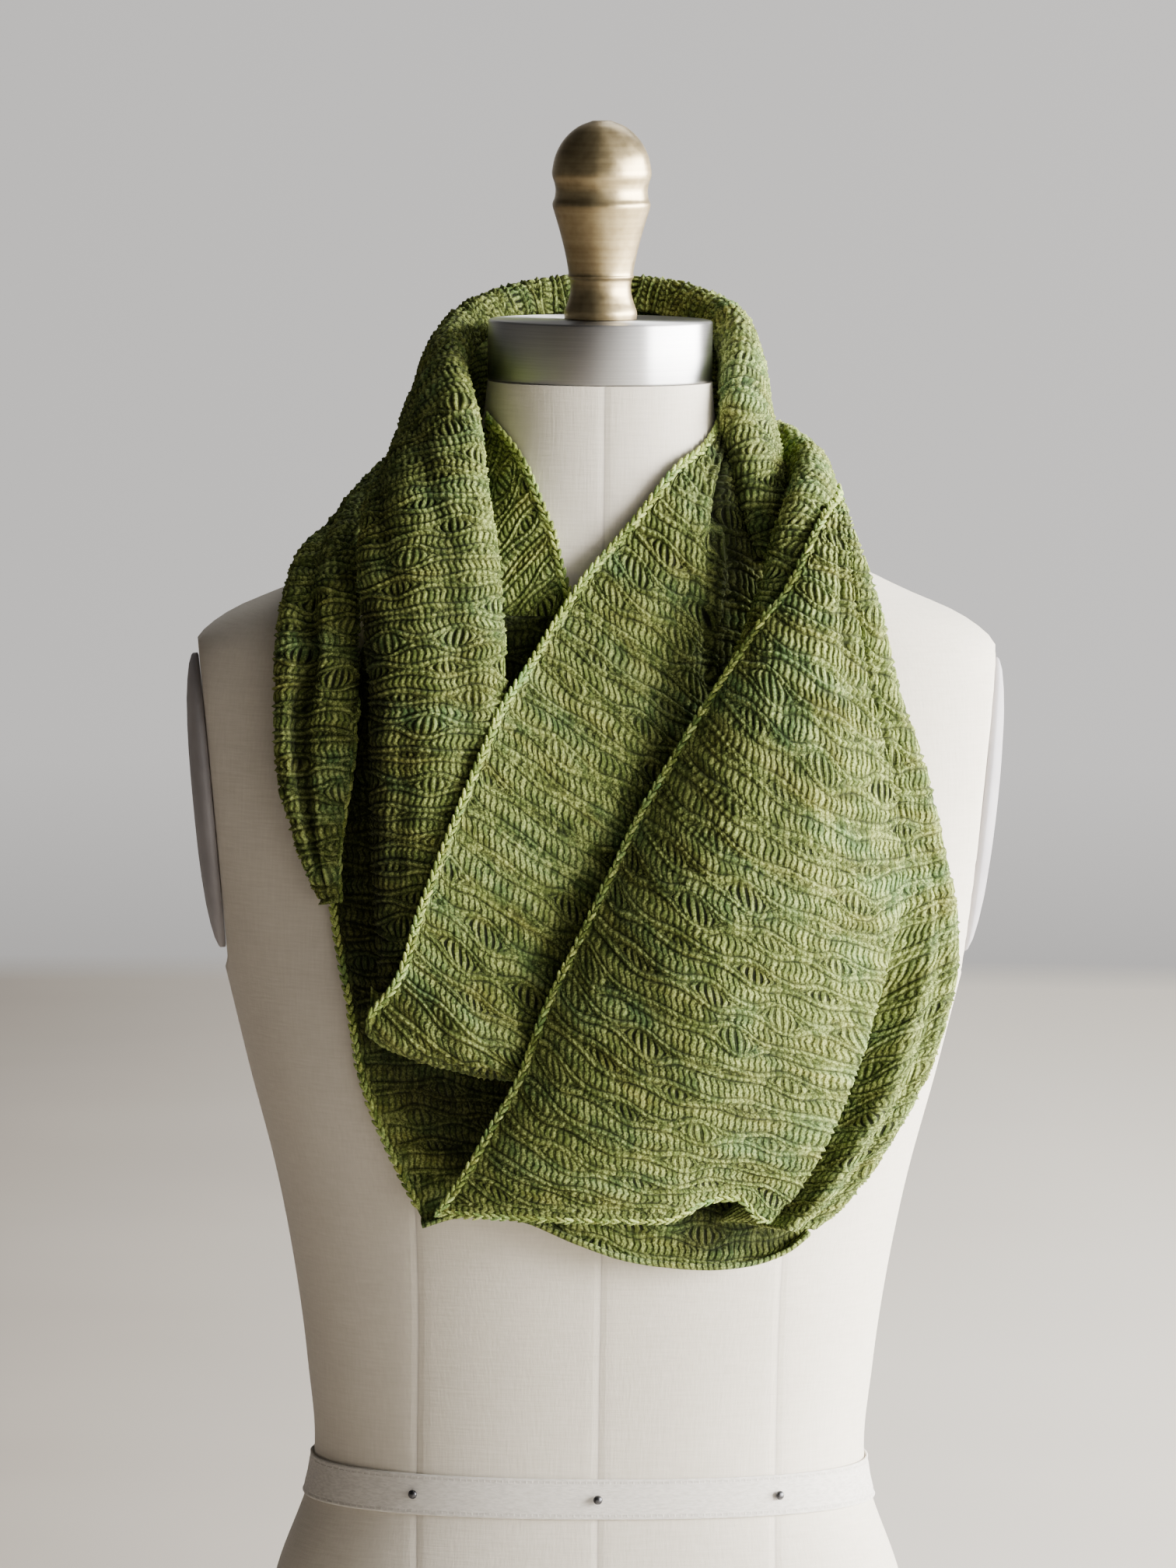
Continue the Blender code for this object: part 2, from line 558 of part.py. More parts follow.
def outer_section(row):
    """One row of the outer panel, seen from above, as the points that its curve passes through."""
    left = np.array([row.left_x, row.left_y, row.left_z], float)
    right = np.array([row.right_x, row.right_y, row.right_z], float)
    fold = np.array([row.fold_x, 0.0, row.fold_z], float)
    radius = min(SIDE_TURN_RADIUS, SIDE_TURN_SHARE * (row.right_x - row.left_x))
    start = right - np.array([radius, 0.0, 0.0])

    def front(share, end):
        point = left + (end - left) * share
        reach = (point[0] - left[0]) / (right[0] - left[0])
        point[1] = (row.left_y + (row.right_y - row.left_y) * reach ** FRONT_FLATNESS
                    - row.crest * math.sin(math.pi * reach ** CREST_LEAN))
        return point

    folded = [front(share, fold) for share in np.linspace(0, 1, 9)]
    edge = folded[-1]
    quarter = PLEAT_STEP / 4
    for dx, dy in ((quarter, 1.0), (0.0, 2.0), (-PLEAT_UNDER, 2.0), (-PLEAT_UNDER - quarter, 3.0),
                   (-PLEAT_UNDER, 4.0)):
        folded.append(edge + np.array([dx, dy * quarter, -dy * PLEAT_DROP]))
    inner = folded[-1]
    for share in (0.35, 0.7, 1.0):
        folded.append(inner + (start - inner) * share)
    open_run = [front(share, start) for share in np.linspace(0, 1, len(folded))]
    mixed = [a * (1 - row.pleat) + b * row.pleat for a, b in zip(open_run, folded)]
    turned = []
    for turn in np.radians((45, 90, 135, 180)):
        shift = (radius * math.sin(turn), radius * (1 - math.cos(turn)), 0.0)
        turned.append(mixed[-1] + np.array(shift))
    run_back = min(max(start[0] - BACK_LAYER_EDGE, 3.0), SIDE_TURN_RUN)
    turned.append(turned[-1] + np.array([-run_back, -1.0, 0.0]))
    return mixed + turned


def front_outer_grid():
    """The outer panel: smooth across each row and down the rows."""
    sections = np.array([outer_section(row) for row in FRONT_OUTER_ROWS])
    keys = np.arange(sections.shape[1])
    fine_keys = np.linspace(0, keys[-1], OUTER_COLUMNS)
    across = np.stack([np.stack([smooth(keys, s[:, axis], fine_keys) for axis in range(3)], axis=-1)
                       for s in sections])
    rows = np.arange(len(sections))
    fine_rows = np.linspace(0, rows[-1], OUTER_ROWS_BUILT)
    grid = np.stack([np.stack([smooth(rows, across[:, c, axis], fine_rows) for c in range(len(fine_keys))],
                              axis=-1) for axis in range(3)], axis=-1)
    low = np.clip((fine_rows - rows[-1] + ARCH_ROWS) / ARCH_ROWS, 0.0, 1.0) ** 2
    arch = np.exp(-((grid[..., 0] - ARCH_X) / ARCH_WIDTH) ** 2) * (np.arange(len(fine_keys)) < FRONT_COLUMNS)
    grid[..., 2] += HEM_ARCH * low[:, None] * arch
    return grid


# ---------------------------------------------------------------- resting one piece on others
def rest_on(piece, lower):
    """Moves a panel straight back until it all but touches the pieces it lies on."""
    trees = []
    for obj in lower:
        trees.append(BVHTree.FromPolygons([v.co for v in obj.data.vertices],
                                          [p.vertices[:] for p in obj.data.polygons]))
    own = BVHTree.FromPolygons([v.co for v in piece.data.vertices], [p.vertices[:] for p in piece.data.polygons])
    far = 1.0
    ahead, behind = Vector((0, 1, 0)), Vector((0, -1, 0))
    room = []
    places = [v.co.copy() for v in piece.data.vertices]
    for obj in lower:
        places += [v.co.copy() for v in obj.data.vertices]
    for place in places:
        back = own.ray_cast(Vector((place.x, far, place.z)), behind)[0]
        if back is None:
            continue
        fronts = [tree.ray_cast(Vector((place.x, -far, place.z)), ahead)[0] for tree in trees]
        fronts = [hit.y for hit in fronts if hit is not None]
        if fronts:
            room.append((min(fronts) - back.y, place.x, back.y, place.z))
    move = min(room)[0] - REST_GAP * MM
    print(piece.name, "moves back", round(move / MM, 2), "where it rests:", [round(v / MM) for v in min(room)[1:]])
    for vertex in piece.data.vertices:
        vertex.co.y += move


def build_scarf(knit):
    left_roll = wall("scarf_left_roll", bunched(INNER_ROUND, LEFT_ROLL_SPAN, 21, 15), knit, spare=1)
    wall("scarf_neck_back", bunched(INNER_ROUND, NECK_BACK_SPAN, 15, 13), knit, spare=1)
    wall("scarf_right_roll", bunched(INNER_ROUND, RIGHT_ROLL_SPAN, 9, 13), knit, spare=1)
    wall("scarf_left_outer", bunched(OUTER_ROUND, LEFT_OUTER_SPAN, 17, 19, LEFT_CREASE_DEPTH), knit, spare=1)
    wall("scarf_back_outer", bunched(OUTER_ROUND, BACK_OUTER_SPAN, 15, 13), knit, spare=1)
    right_fold = wall("scarf_right_fold", bunched(OUTER_ROUND, RIGHT_FOLD_SPAN, 13, 13), knit, spare=1)
    wall("scarf_neck_left", neck_left_grid(), knit)
    under = wall("scarf_under", under_grid(), knit)
    inner = wall("scarf_front_inner", front_inner_grid(), knit)
    outer = wall("scarf_front_outer", front_outer_grid(), knit)
    rest_on(inner, [left_roll, under])
    rest_on(outer, [right_fold, inner, under])


def main():
    for obj in list(bpy.data.objects):
        bpy.data.objects.remove(obj, do_unlink=True)
    knit = material("hand dyed green knit", (0.22, 0.29, 0.09), 0.9)
    linen = material("off-white linen", (0.72, 0.69, 0.65), 0.85)
    steel = material("brushed steel", (0.62, 0.63, 0.65), 0.3, 1.0)
    wood = material("gold painted wood", (0.42, 0.33, 0.18), 0.4)
    grey = material("grey plate", (0.42, 0.40, 0.42), 0.7)
    tape = material("cotton tape", (0.75, 0.72, 0.68), 0.85)
    pin = material("dark pin", (0.12, 0.12, 0.13), 0.35, 1.0)
    build_form(linen, steel, wood, grey, tape, pin)
    build_scarf(knit)


main()
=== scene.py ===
# %% [markdown]
# # An infinity scarf on a dress form
#
# A long strip of wave lace, knitted in a hand-dyed green yarn, is joined end to end and worn in two rounds.
# A limbless dress form carries it. The solids of both come from the CAD model, which is loaded here as a
# fixed frame. This lesson dresses them: the same drape is worked out again with far more points, and the
# waves, ridges and dropped stitches of the knit are raised in it.

# %% The frame
import json
import math
from collections import namedtuple

import bpy
import numpy as np
from mathutils import Matrix, Vector

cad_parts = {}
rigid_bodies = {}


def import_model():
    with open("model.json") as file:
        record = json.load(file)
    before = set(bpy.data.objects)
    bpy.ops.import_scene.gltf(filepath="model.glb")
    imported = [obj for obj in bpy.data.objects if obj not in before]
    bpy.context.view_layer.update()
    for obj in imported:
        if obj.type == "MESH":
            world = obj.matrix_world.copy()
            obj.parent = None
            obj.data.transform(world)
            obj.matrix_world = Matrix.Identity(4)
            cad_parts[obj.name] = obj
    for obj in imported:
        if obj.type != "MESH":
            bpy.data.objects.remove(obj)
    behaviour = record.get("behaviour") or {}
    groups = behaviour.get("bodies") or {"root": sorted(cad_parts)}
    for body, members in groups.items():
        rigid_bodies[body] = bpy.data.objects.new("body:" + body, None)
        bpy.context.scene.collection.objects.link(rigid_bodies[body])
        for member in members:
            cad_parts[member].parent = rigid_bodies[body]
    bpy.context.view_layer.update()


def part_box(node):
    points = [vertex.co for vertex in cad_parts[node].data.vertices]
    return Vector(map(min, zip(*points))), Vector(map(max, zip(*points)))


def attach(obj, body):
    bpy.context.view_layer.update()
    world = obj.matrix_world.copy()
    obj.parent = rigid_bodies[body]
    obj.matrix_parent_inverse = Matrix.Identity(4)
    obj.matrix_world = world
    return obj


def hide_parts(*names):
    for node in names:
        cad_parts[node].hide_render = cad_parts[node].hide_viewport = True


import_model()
MM = 0.001

# %% [markdown]
# ## Camera
#
# The scarf is looked at from a little above the chest, from six metres away through a long lens, so that
# near and far parts keep their true proportions. A camera could be aimed with a constraint; a matrix built
# from its three directions says plainly where it looks and how much it leans.

# %% Camera
CAMERA_DISTANCE = 6.0
CAMERA_HEIGHT = 1.08
CAMERA_TURN = math.radians(2.5)
CAMERA_PITCH = math.radians(4.91)
CAMERA_ROLL = math.radians(0.5)
CAMERA_LENS = 291.4
AXIS_SHIFT = 0.00055              # the form's axis stands this angle right of the middle, in radians

camera_data = bpy.data.cameras.new("camera")
camera_data.lens = CAMERA_LENS
camera_data.sensor_width = 36.0
camera = bpy.data.objects.new("camera", camera_data)
bpy.context.scene.collection.objects.link(camera)
level = math.cos(CAMERA_PITCH)
ahead = Vector((math.sin(CAMERA_TURN) * level, math.cos(CAMERA_TURN) * level, -math.sin(CAMERA_PITCH)))
rightwards = Vector((math.cos(CAMERA_TURN), -math.sin(CAMERA_TURN), 0.0))
upwards = rightwards.cross(ahead)
aim = Matrix.Rotation(AXIS_SHIFT, 4, "Z") @ Matrix((rightwards, upwards, -ahead)).transposed().to_4x4()
aim = aim @ Matrix.Rotation(CAMERA_ROLL, 4, "Z")
aim.translation = Vector((-CAMERA_DISTANCE * math.sin(CAMERA_TURN), -CAMERA_DISTANCE * math.cos(CAMERA_TURN),
                          CAMERA_HEIGHT))
camera.matrix_world = aim
bpy.context.scene.camera = camera
print("the camera stands", CAMERA_DISTANCE, "m away, at", CAMERA_HEIGHT, "m")

# %% [markdown]
# ## Meshes from numbers
#
# Cloth, turned wood and the form itself are all grids of points: rows of a section, set one after another.
# Blender can make a mesh from Python lists with from_pydata, but these grids have tens of thousands of
# faces, so whole arrays are handed over at once with foreach_set, which is many times faster.

# %% Mesh helpers
def mesh_object(name, vertices, quads, ngons=(), vectors=None):
    """Makes a mesh object from arrays in mm: four-sided faces first, then faces of any length."""
    sizes = [4] * len(quads) + [len(face) for face in ngons]
    corners = np.concatenate([np.asarray(quads, np.int32).reshape(-1)]
                             + [np.asarray(face, np.int32) for face in ngons])
    mesh = bpy.data.meshes.new(name)
    mesh.vertices.add(len(vertices))
    mesh.vertices.foreach_set("co", (np.asarray(vertices) * MM).astype(np.float32).reshape(-1))
    mesh.loops.add(len(corners))
    mesh.loops.foreach_set("vertex_index", corners.astype(np.int32))
    mesh.polygons.add(len(sizes))
    mesh.polygons.foreach_set("loop_start", np.concatenate([[0], np.cumsum(sizes)[:-1]]).astype(np.int32))
    mesh.update(calc_edges=True)
    mesh.validate()
    mesh.shade_smooth()
    for key, values in (vectors or {}).items():
        mesh.attributes.new(key, "FLOAT_VECTOR", "POINT").data.foreach_set(
            "vector", np.asarray(values, np.float32).reshape(-1))
    made = bpy.data.objects.new(name, mesh)
    bpy.context.scene.collection.objects.link(made)
    return made


def grid_quads(rows, columns, closed=False, looped=False):
    """Corner numbers of the faces of a grid. A closed grid joins its last column to its first, a looped one
    its last row to its first."""
    r = np.arange(rows if looped else rows - 1)[:, None]
    c = np.arange(columns if closed else columns - 1)[None, :]
    below = (r + 1) % rows * columns
    beside = (c + 1) % columns
    quads = np.stack([r * columns + c, r * columns + beside, below + beside, below + c], axis=-1)
    return quads.reshape(-1, 4)


def stacked(name, rings, vectors=None, mirrored=False):
    """A closed body from a stack of rings, with a flat face at both ends."""
    rows, sides = rings.shape[:2]
    quads = grid_quads(rows, sides, closed=True)
    ends = [np.arange(sides)[::-1], np.arange(sides) + (rows - 1) * sides]
    if mirrored:
        quads = quads[:, ::-1]
        ends = [face[::-1] for face in ends]
    return mesh_object(name, rings.reshape(-1, 3), quads, ends, vectors)


def dress(made, finish, node=None):
    """Gives a piece its finish, hides the solid that it replaces, and lets it ride on the one body."""
    made.data.materials.append(finish)
    if node:
        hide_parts(node)
    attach(made, "root")


print("mesh helpers ready")

# %% [markdown]
# ## Smooth curves from few numbers
#
# Every shape below starts as a short table of measured rows. A cubic curve through them gives as many rows
# as the mesh needs. Blender's own curves could be sampled instead, but a few lines of arithmetic keep the
# table and the result next to each other.

# %% Curves and lengths
def smooth(knots, values, at):
    """Cubic curve through the values, with its slopes taken from their neighbours. A table of values gives
    one curve for each of its columns."""
    knots, values, at = (np.asarray(numbers, float) for numbers in (knots, values, at))
    slopes = np.gradient(values, knots, axis=0)
    i = np.clip(np.searchsorted(knots, at, side="right") - 1, 0, len(knots) - 2)
    shape = at.shape + (1,) * (values.ndim - 1)
    span = (knots[i + 1] - knots[i]).reshape(shape)
    t = (at - knots[i]).reshape(shape) / span
    t2, t3 = t * t, t * t * t
    return (values[i] * (2 * t3 - 3 * t2 + 1) + slopes[i] * span * (t3 - 2 * t2 + t)
            + values[i + 1] * (3 * t2 - 2 * t3) + slopes[i + 1] * span * (t3 - t2))


def column(rows, name, at):
    """One named column of a table, read smoothly between its rows."""
    return smooth(np.arange(len(rows)), [getattr(row, name) for row in rows], at)


def lengths(points, axis):
    """Distance walked along one direction of a grid, from its first point."""
    steps = np.linalg.norm(np.diff(points, axis=axis), axis=2)
    start = np.zeros_like(np.take(steps, [0], axis=axis))
    return np.concatenate([start, np.cumsum(steps, axis=axis)], axis=axis)


def ramp(x, low, high):
    """Rises smoothly from 0 at low to 1 at high."""
    t = np.clip((x - low) / (high - low), 0.0, 1.0)
    return t * t * (3 - 2 * t)


def around(sides):
    """Angles evenly spaced round a full turn."""
    return 2 * math.pi * np.arange(sides) / sides


def unit(vectors):
    """The same directions, 1 long."""
    return vectors / np.maximum(np.linalg.norm(vectors, axis=-1, keepdims=True), 1e-9)


def surface_normals(grid):
    return unit(np.cross(np.gradient(grid, axis=1), np.gradient(grid, axis=0)))


print("halfway up a curve through 0, 1 and 0:", float(smooth([0, 1, 2], [0, 1, 0], 0.5)))

# %% [markdown]
# ## Nodes in a few words
#
# Every finish below is a Principled shader fed by patterns. Writing each node and link out would bury the
# idea, so a small helper adds a node, sets its values and links its inputs in one call.

# %% Node helpers
def rgba(colour):
    """Four channels from a grey level or from three channels."""
    return (*colour, 1.0) if isinstance(colour, tuple) else (colour, colour, colour, 1.0)


class Nodes:
    """Short ways to add nodes to a tree."""

    def __init__(self, tree):
        self.tree = tree

    def put(self, socket, value):
        if isinstance(value, bpy.types.NodeSocket):
            self.tree.links.new(value, socket)
        else:
            socket.default_value = value

    def node(self, kind, output=0, inputs=None, **settings):
        """Adds a node and gives one of its outputs."""
        made = self.tree.nodes.new("ShaderNode" + kind)
        for key, value in settings.items():
            setattr(made, key, value)
        for key, value in (inputs or {}).items():
            self.put(made.inputs[key], value)
        return made.outputs[output]

    def math(self, operation, a, b=0.0, c=0.0):
        return self.node("Math", operation=operation, inputs={0: a, 1: b, 2: c})

    def ramp(self, factor, stops):
        """A colour ramp: stops are (position, grey level or (r, g, b))."""
        made = self.tree.nodes.new("ShaderNodeValToRGB")
        elements = made.color_ramp.elements
        while len(elements) < len(stops):
            elements.new(0.5)
        for element, (position, colour) in zip(elements, stops):
            element.position = position
            element.color = rgba(colour)
        self.put(made.inputs["Fac"], factor)
        return made.outputs["Color"]

    def mix(self, factor, a, b, blend="MIX"):
        made = self.tree.nodes.new("ShaderNodeMix")
        made.data_type = "RGBA"
        made.blend_type = blend
        self.put(made.inputs["Factor"], factor)
        for name, value in (("A", a), ("B", b)):
            socket = [s for s in made.inputs if s.name == name and s.type == "RGBA"][0]
            self.put(socket, value if isinstance(value, bpy.types.NodeSocket) else rgba(value))
        return [s for s in made.outputs if s.type == "RGBA"][0]

    def times(self, a, b):
        return self.mix(1.0, a, b, "MULTIPLY")

    def attribute(self, name):
        return self.node("Attribute", output="Vector", attribute_name=name)

    def split(self, vector):
        made = self.tree.nodes.new("ShaderNodeSeparateXYZ")
        self.put(made.inputs[0], vector)
        return made.outputs

    def join(self, x, y, z):
        return self.node("CombineXYZ", inputs={"X": x, "Y": y, "Z": z})

    def noise(self, vector, scale, detail=2.0, roughness=0.5):
        return self.node("TexNoise", inputs={"Vector": vector, "Scale": scale, "Detail": detail,
                                             "Roughness": roughness})

    def place(self):
        """The point's own place in the row frame, in metres."""
        return self.node("TexCoord", output=3)

    def stretched(self, scale, detail=2.0):
        """Noise over the point's own place, drawn out along the directions whose scale is small."""
        scaled = self.node("VectorMath", operation="MULTIPLY", inputs={0: self.place(), 1: scale})
        return self.noise(scaled, 1.0, detail)

    def bump(self, height, strength, distance, normal=None):
        inputs = {"Height": height, "Strength": strength, "Distance": distance}
        if normal is not None:
            inputs["Normal"] = normal
        return self.node("Bump", inputs=inputs)


print("node helpers ready")

# %% Finish helper
class Finish(Nodes):
    """A new material, made of one Principled shader."""

    def __init__(self, name, roughness, metallic=0.0, sheen=0.0, specular=0.5):
        self.made = bpy.data.materials.new(name)
        self.made.use_nodes = True
        super().__init__(self.made.node_tree)
        self.shader = self.tree.nodes["Principled BSDF"]
        self.set({"Roughness": roughness, "Metallic": metallic, "Sheen Weight": sheen,
                  "Specular IOR Level": specular})

    def set(self, inputs):
        for key, value in inputs.items():
            self.put(self.shader.inputs[key], value)

    def finish(self, colour, normal=None, roughness=None):
        self.set({"Base Color": colour})
        if normal is not None:
            self.set({"Normal": normal})
        if roughness is not None:
            self.set({"Roughness": roughness})
        return self.made


print("finish helper ready")

# %% [markdown]
# ## The linen cover of the form
#
# The form is padded and covered with off-white linen. Its yarns are uneven, so the cloth has faint slubs
# that run up and across. A woven image could be tiled over it; noise stretched along two directions gives
# the same irregular weave without a repeat. The seams are darker hair lines with a slight dip.

# %% Linen
LINEN_COLOUR = (0.715, 0.66, 0.565)
LINEN_SHADE = (0.62, 0.57, 0.475)
SEAM_COLOUR = (0.50, 0.455, 0.40)


def linen():
    f = Finish("linen", roughness=0.88, sheen=0.15, specular=0.25)
    warp = f.stretched((900.0, 900.0, 70.0))
    weft = f.stretched((70.0, 70.0, 900.0))
    weave = f.math("ADD", warp, weft)
    cloud = f.noise(f.place(), 9.0, detail=3.0)
    tone = f.ramp(f.math("MULTIPLY_ADD", weave, 0.35, f.math("MULTIPLY", cloud, 0.35)),
                  [(0.36, LINEN_SHADE), (0.68, LINEN_COLOUR)])
    away = [f.math("ABSOLUTE", distance) for distance in f.split(f.attribute("seams"))]
    nearest = f.math("MINIMUM", f.math("MINIMUM", away[0], away[1]), away[2])
    line = f.ramp(f.math("DIVIDE", nearest, 3.0), [(0.0, 1.0), (0.16, 0.55), (0.3, 0.0)])
    dip = f.ramp(f.math("DIVIDE", nearest, 6.0), [(0.0, 0.0), (0.5, 0.8), (1.0, 1.0)])
    tone = f.mix(f.math("MULTIPLY", line, 0.75), tone, SEAM_COLOUR)
    return f.finish(tone, f.bump(dip, 0.6, 0.0008, f.bump(weave, 0.25, 0.0004)))


linen_finish = linen()
print("linen ready:", len(linen_finish.node_tree.nodes), "nodes")

# %% [markdown]
# ## The dress form
#
# The body is a stack of rounded outlines, each with its own width, front and back depth, cut off flat where
# the arms would start. The CAD body uses few levels; here the same table gives hundreds, so that the
# outline is smooth. Subdivision would round it too, but it would also pull the cut armholes out of shape.

# %% Form: sizes
FormRing = namedtuple("FormRing", "z half_width front back middle_y")
FORM_RINGS = [
    FormRing(0, 168, 104, 126, 0),
    FormRing(50, 172, 108, 131, 0),
    FormRing(120, 164, 106, 124, 0),
    FormRing(190, 148, 100, 106, 0),
    FormRing(240, 131.5, 95, 93, 0),
    FormRing(290, 134.5, 100, 94, 0),
    FormRing(330, 140, 108, 97, 0),
    FormRing(381, 150, 118, 102, 0),
    FormRing(430, 163, 124, 106, 0),
    FormRing(470, 173, 120, 110, 0),
    FormRing(510, 183, 110, 114, 0),
    FormRing(550, 192, 100, 115, 0),
    FormRing(592, 196, 90, 112, 0),
    FormRing(620, 194, 82, 104, -1),
    FormRing(636, 187, 77, 96, -2),
    FormRing(647, 172, 74, 90, -3),
    FormRing(658, 147, 70, 84, -5),
    FormRing(670, 122, 66, 78, -6),
    FormRing(682, 98, 62, 71, -8),
    FormRing(694, 78, 59, 66, -9),
    FormRing(706, 66, 57, 61, -11),
    FormRing(720, 59.5, 55.5, 57, -12),
    FormRing(738, 55, 54, 54.5, -13),
    FormRing(757, 53, 53, 53, -15),
]
FORM_TOP = FORM_RINGS[-1].z
NECK_Y = FORM_RINGS[-1].middle_y
BODY_SQUARENESS = 2.3
ARM_PLANE_LOW = (500.0, 175.5)    # (z, x) of the flat planes that cut the form off at the arms
ARM_PLANE_HIGH = (630.0, 188.5)
ARM_CUT_BELOW = 20.0              # they reach this far under their lower point
FORM_SIDES = 176
FORM_LEVEL_STEP = 4.0


def form_size(z):
    """Half width, front depth, back depth and middle of the form at a height."""
    heights = [ring.z for ring in FORM_RINGS]
    return np.moveaxis(smooth(heights, [ring[1:] for ring in FORM_RINGS], z), -1, 0)


def form_front(x, z):
    """Y of the form's front at (x, z), for |x| inside the form."""
    half_width, front, _, middle = form_size(z)
    across = np.clip(np.abs(x) / half_width, 0.0, 0.995)
    return middle - front * (1 - across ** BODY_SQUARENESS) ** (1 / BODY_SQUARENESS)


def arm_plane(z):
    (z0, x0), (z1, x1) = ARM_PLANE_LOW, ARM_PLANE_HIGH
    return x0 + (z - z0) * (x1 - x0) / (z1 - z0)


def form_ring(z, sides, grow=0.0):
    """One level of the form: a rounded outline, cut off flat where the arms would start."""
    half_width, front, back, middle = form_size(z)
    c, s = np.cos(around(sides)), np.sin(around(sides))
    reach = (np.abs(c) ** BODY_SQUARENESS + np.abs(s) ** BODY_SQUARENESS) ** (-1 / BODY_SQUARENESS)
    x = (half_width + grow) * reach * c
    y = middle + (np.where(s > 0, back, front) + grow) * reach * s
    limit = arm_plane(z) if z > ARM_PLANE_LOW[0] - ARM_CUT_BELOW else half_width + grow
    return np.stack([np.clip(x, -limit, limit), y, np.full(sides, z)], axis=-1)


print("form:", len(FORM_RINGS), "outlines from", FORM_RINGS[0].z, "to", FORM_TOP, "mm")

# %% Form: body with its seams
PRINCESS_LOW_X = 84.5             # the princess seams run straight below the waist,
PRINCESS_HIGH_X = 104.0           # and lean out to the middle of the shoulders above it
PRINCESS_BEND_Z = 300.0
PRINCESS_TOP_Z = 640.0
ARMHOLE_Z = 520.0                 # the side seams end under the armholes
NO_SEAM = 40.0                    # a distance at which no seam shows
SIDE_SEAM_Y = 4.0
COLLAR_Z = 688.0
COLLAR_SLOPE = 0.12
BASE_SEAM_Z = 8.0


def build_body():
    levels = np.linspace(0, FORM_TOP, int(FORM_TOP / FORM_LEVEL_STEP) + 1)
    rings = np.stack([form_ring(z, FORM_SIDES) for z in levels])
    x, y, z = rings[..., 0], rings[..., 1], rings[..., 2]
    lean = ramp(z, PRINCESS_BEND_Z, PRINCESS_TOP_Z)
    princess = PRINCESS_LOW_X + (PRINCESS_HIGH_X - PRINCESS_LOW_X) * lean
    side_seam = np.where(z < ARMHOLE_Z, y - SIDE_SEAM_Y, NO_SEAM)
    collar = np.minimum(np.abs(z - COLLAR_Z - COLLAR_SLOPE * y), np.abs(z - BASE_SEAM_Z))
    upright = np.minimum(np.abs(x), np.abs(side_seam))
    seams = np.stack([upright, np.abs(x) - princess, collar], axis=-1)
    body = stacked("torso_cover", rings, {"seams": seams})
    body.data.set_sharp_from_angle(angle=math.radians(40))
    dress(body, linen_finish, "form_torso")
    return body


body = build_body()
print("body:", len(body.data.polygons), "faces")

# %% [markdown]
# ## Turned pieces
#
# The finial, the steel neck cap and the pin heads are all turned: one profile swung round an axis. The
# Screw modifier would do it; here the profile is also smoothed between its few measured heights, so the
# rings are computed directly.

# %% Turned pieces
Turned = namedtuple("Turned", "height radius")


def turned(name, profile, sides, base, finish, node, steps=0):
    """Swings a profile round a vertical line through base. steps adds points between its heights."""
    if steps:
        profile = smooth(np.arange(len(profile)), profile, np.linspace(0, len(profile) - 1, steps))
    turn = around(sides)
    rings = [np.stack([radius * np.cos(turn), radius * np.sin(turn), np.full(sides, height)], axis=-1)
             for height, radius in profile]
    made = stacked(name, np.stack(rings) + np.array(base))
    dress(made, finish, node)
    return made


print("ready to turn profiles")

# %% [markdown]
# ## Finial
#
# The wooden finial is painted a satin antique gold, worn a little darker in the grooves. Gold paint is full
# of metal flakes, so one side of it mirrors the bright window softly and the other stays dark. A metallic
# shader does that; a plain brown with a gloss on top would stay evenly lit like plastic.

# %% Finial
GOLD_LIGHT = (0.46, 0.365, 0.20)
GOLD_DARK = (0.32, 0.245, 0.125)
CAP_RADIUS = 53.0
CAP_HEIGHT = 28.5
CLEARANCE = 0.3
FINIAL_FOOT_Z = FORM_TOP + CAP_HEIGHT + 2 * CLEARANCE
FINIAL_PROFILE = [
    Turned(0.0, 17.0), Turned(3.5, 17.2), Turned(8.0, 15.6), Turned(13.0, 14.4), Turned(18.0, 14.6),
    Turned(20.0, 15.6), Turned(22.5, 15.4), Turned(32.0, 17.2), Turned(42.0, 19.8), Turned(50.0, 22.2),
    Turned(54.0, 23.2), Turned(57.0, 22.2), Turned(60.5, 21.8), Turned(64.0, 22.3), Turned(67.5, 23.4),
    Turned(71.0, 23.3), Turned(78.0, 21.6), Turned(85.0, 17.6), Turned(90.5, 11.5), Turned(93.5, 4.5),
]


def gold_paint():
    f = Finish("satin gold paint", roughness=0.34, metallic=0.92)
    rings = f.stretched((12.0, 12.0, 420.0), detail=3.0)
    speckle = f.noise(f.place(), 260.0, detail=3.0)
    tone = f.ramp(f.math("MULTIPLY_ADD", rings, 0.6, f.math("MULTIPLY", speckle, 0.4)),
                  [(0.35, GOLD_DARK), (0.62, GOLD_LIGHT)])
    f.set({"Coat Weight": 0.25, "Coat Roughness": 0.22})
    return f.finish(tone, f.bump(speckle, 0.12, 0.0004), f.math("MULTIPLY_ADD", speckle, 0.2, 0.25))


finial = turned("turned_finial", FINIAL_PROFILE, 96, (0.0, NECK_Y, FINIAL_FOOT_Z), gold_paint(), "finial",
                steps=150)
print("finial:", round(FINIAL_PROFILE[-1].height, 1), "mm tall,", len(finial.data.polygons), "faces")

# %% [markdown]
# ## Neck cap
#
# A drum of brushed steel closes the neck. Brushing leaves fine scratches round the drum, which stretch each
# reflection into an upright streak. Anisotropic shading makes that streak: its tangent runs round the axis
# and is turned a quarter, so that the blur lies across the scratches. Noise drawn out along them breaks it.

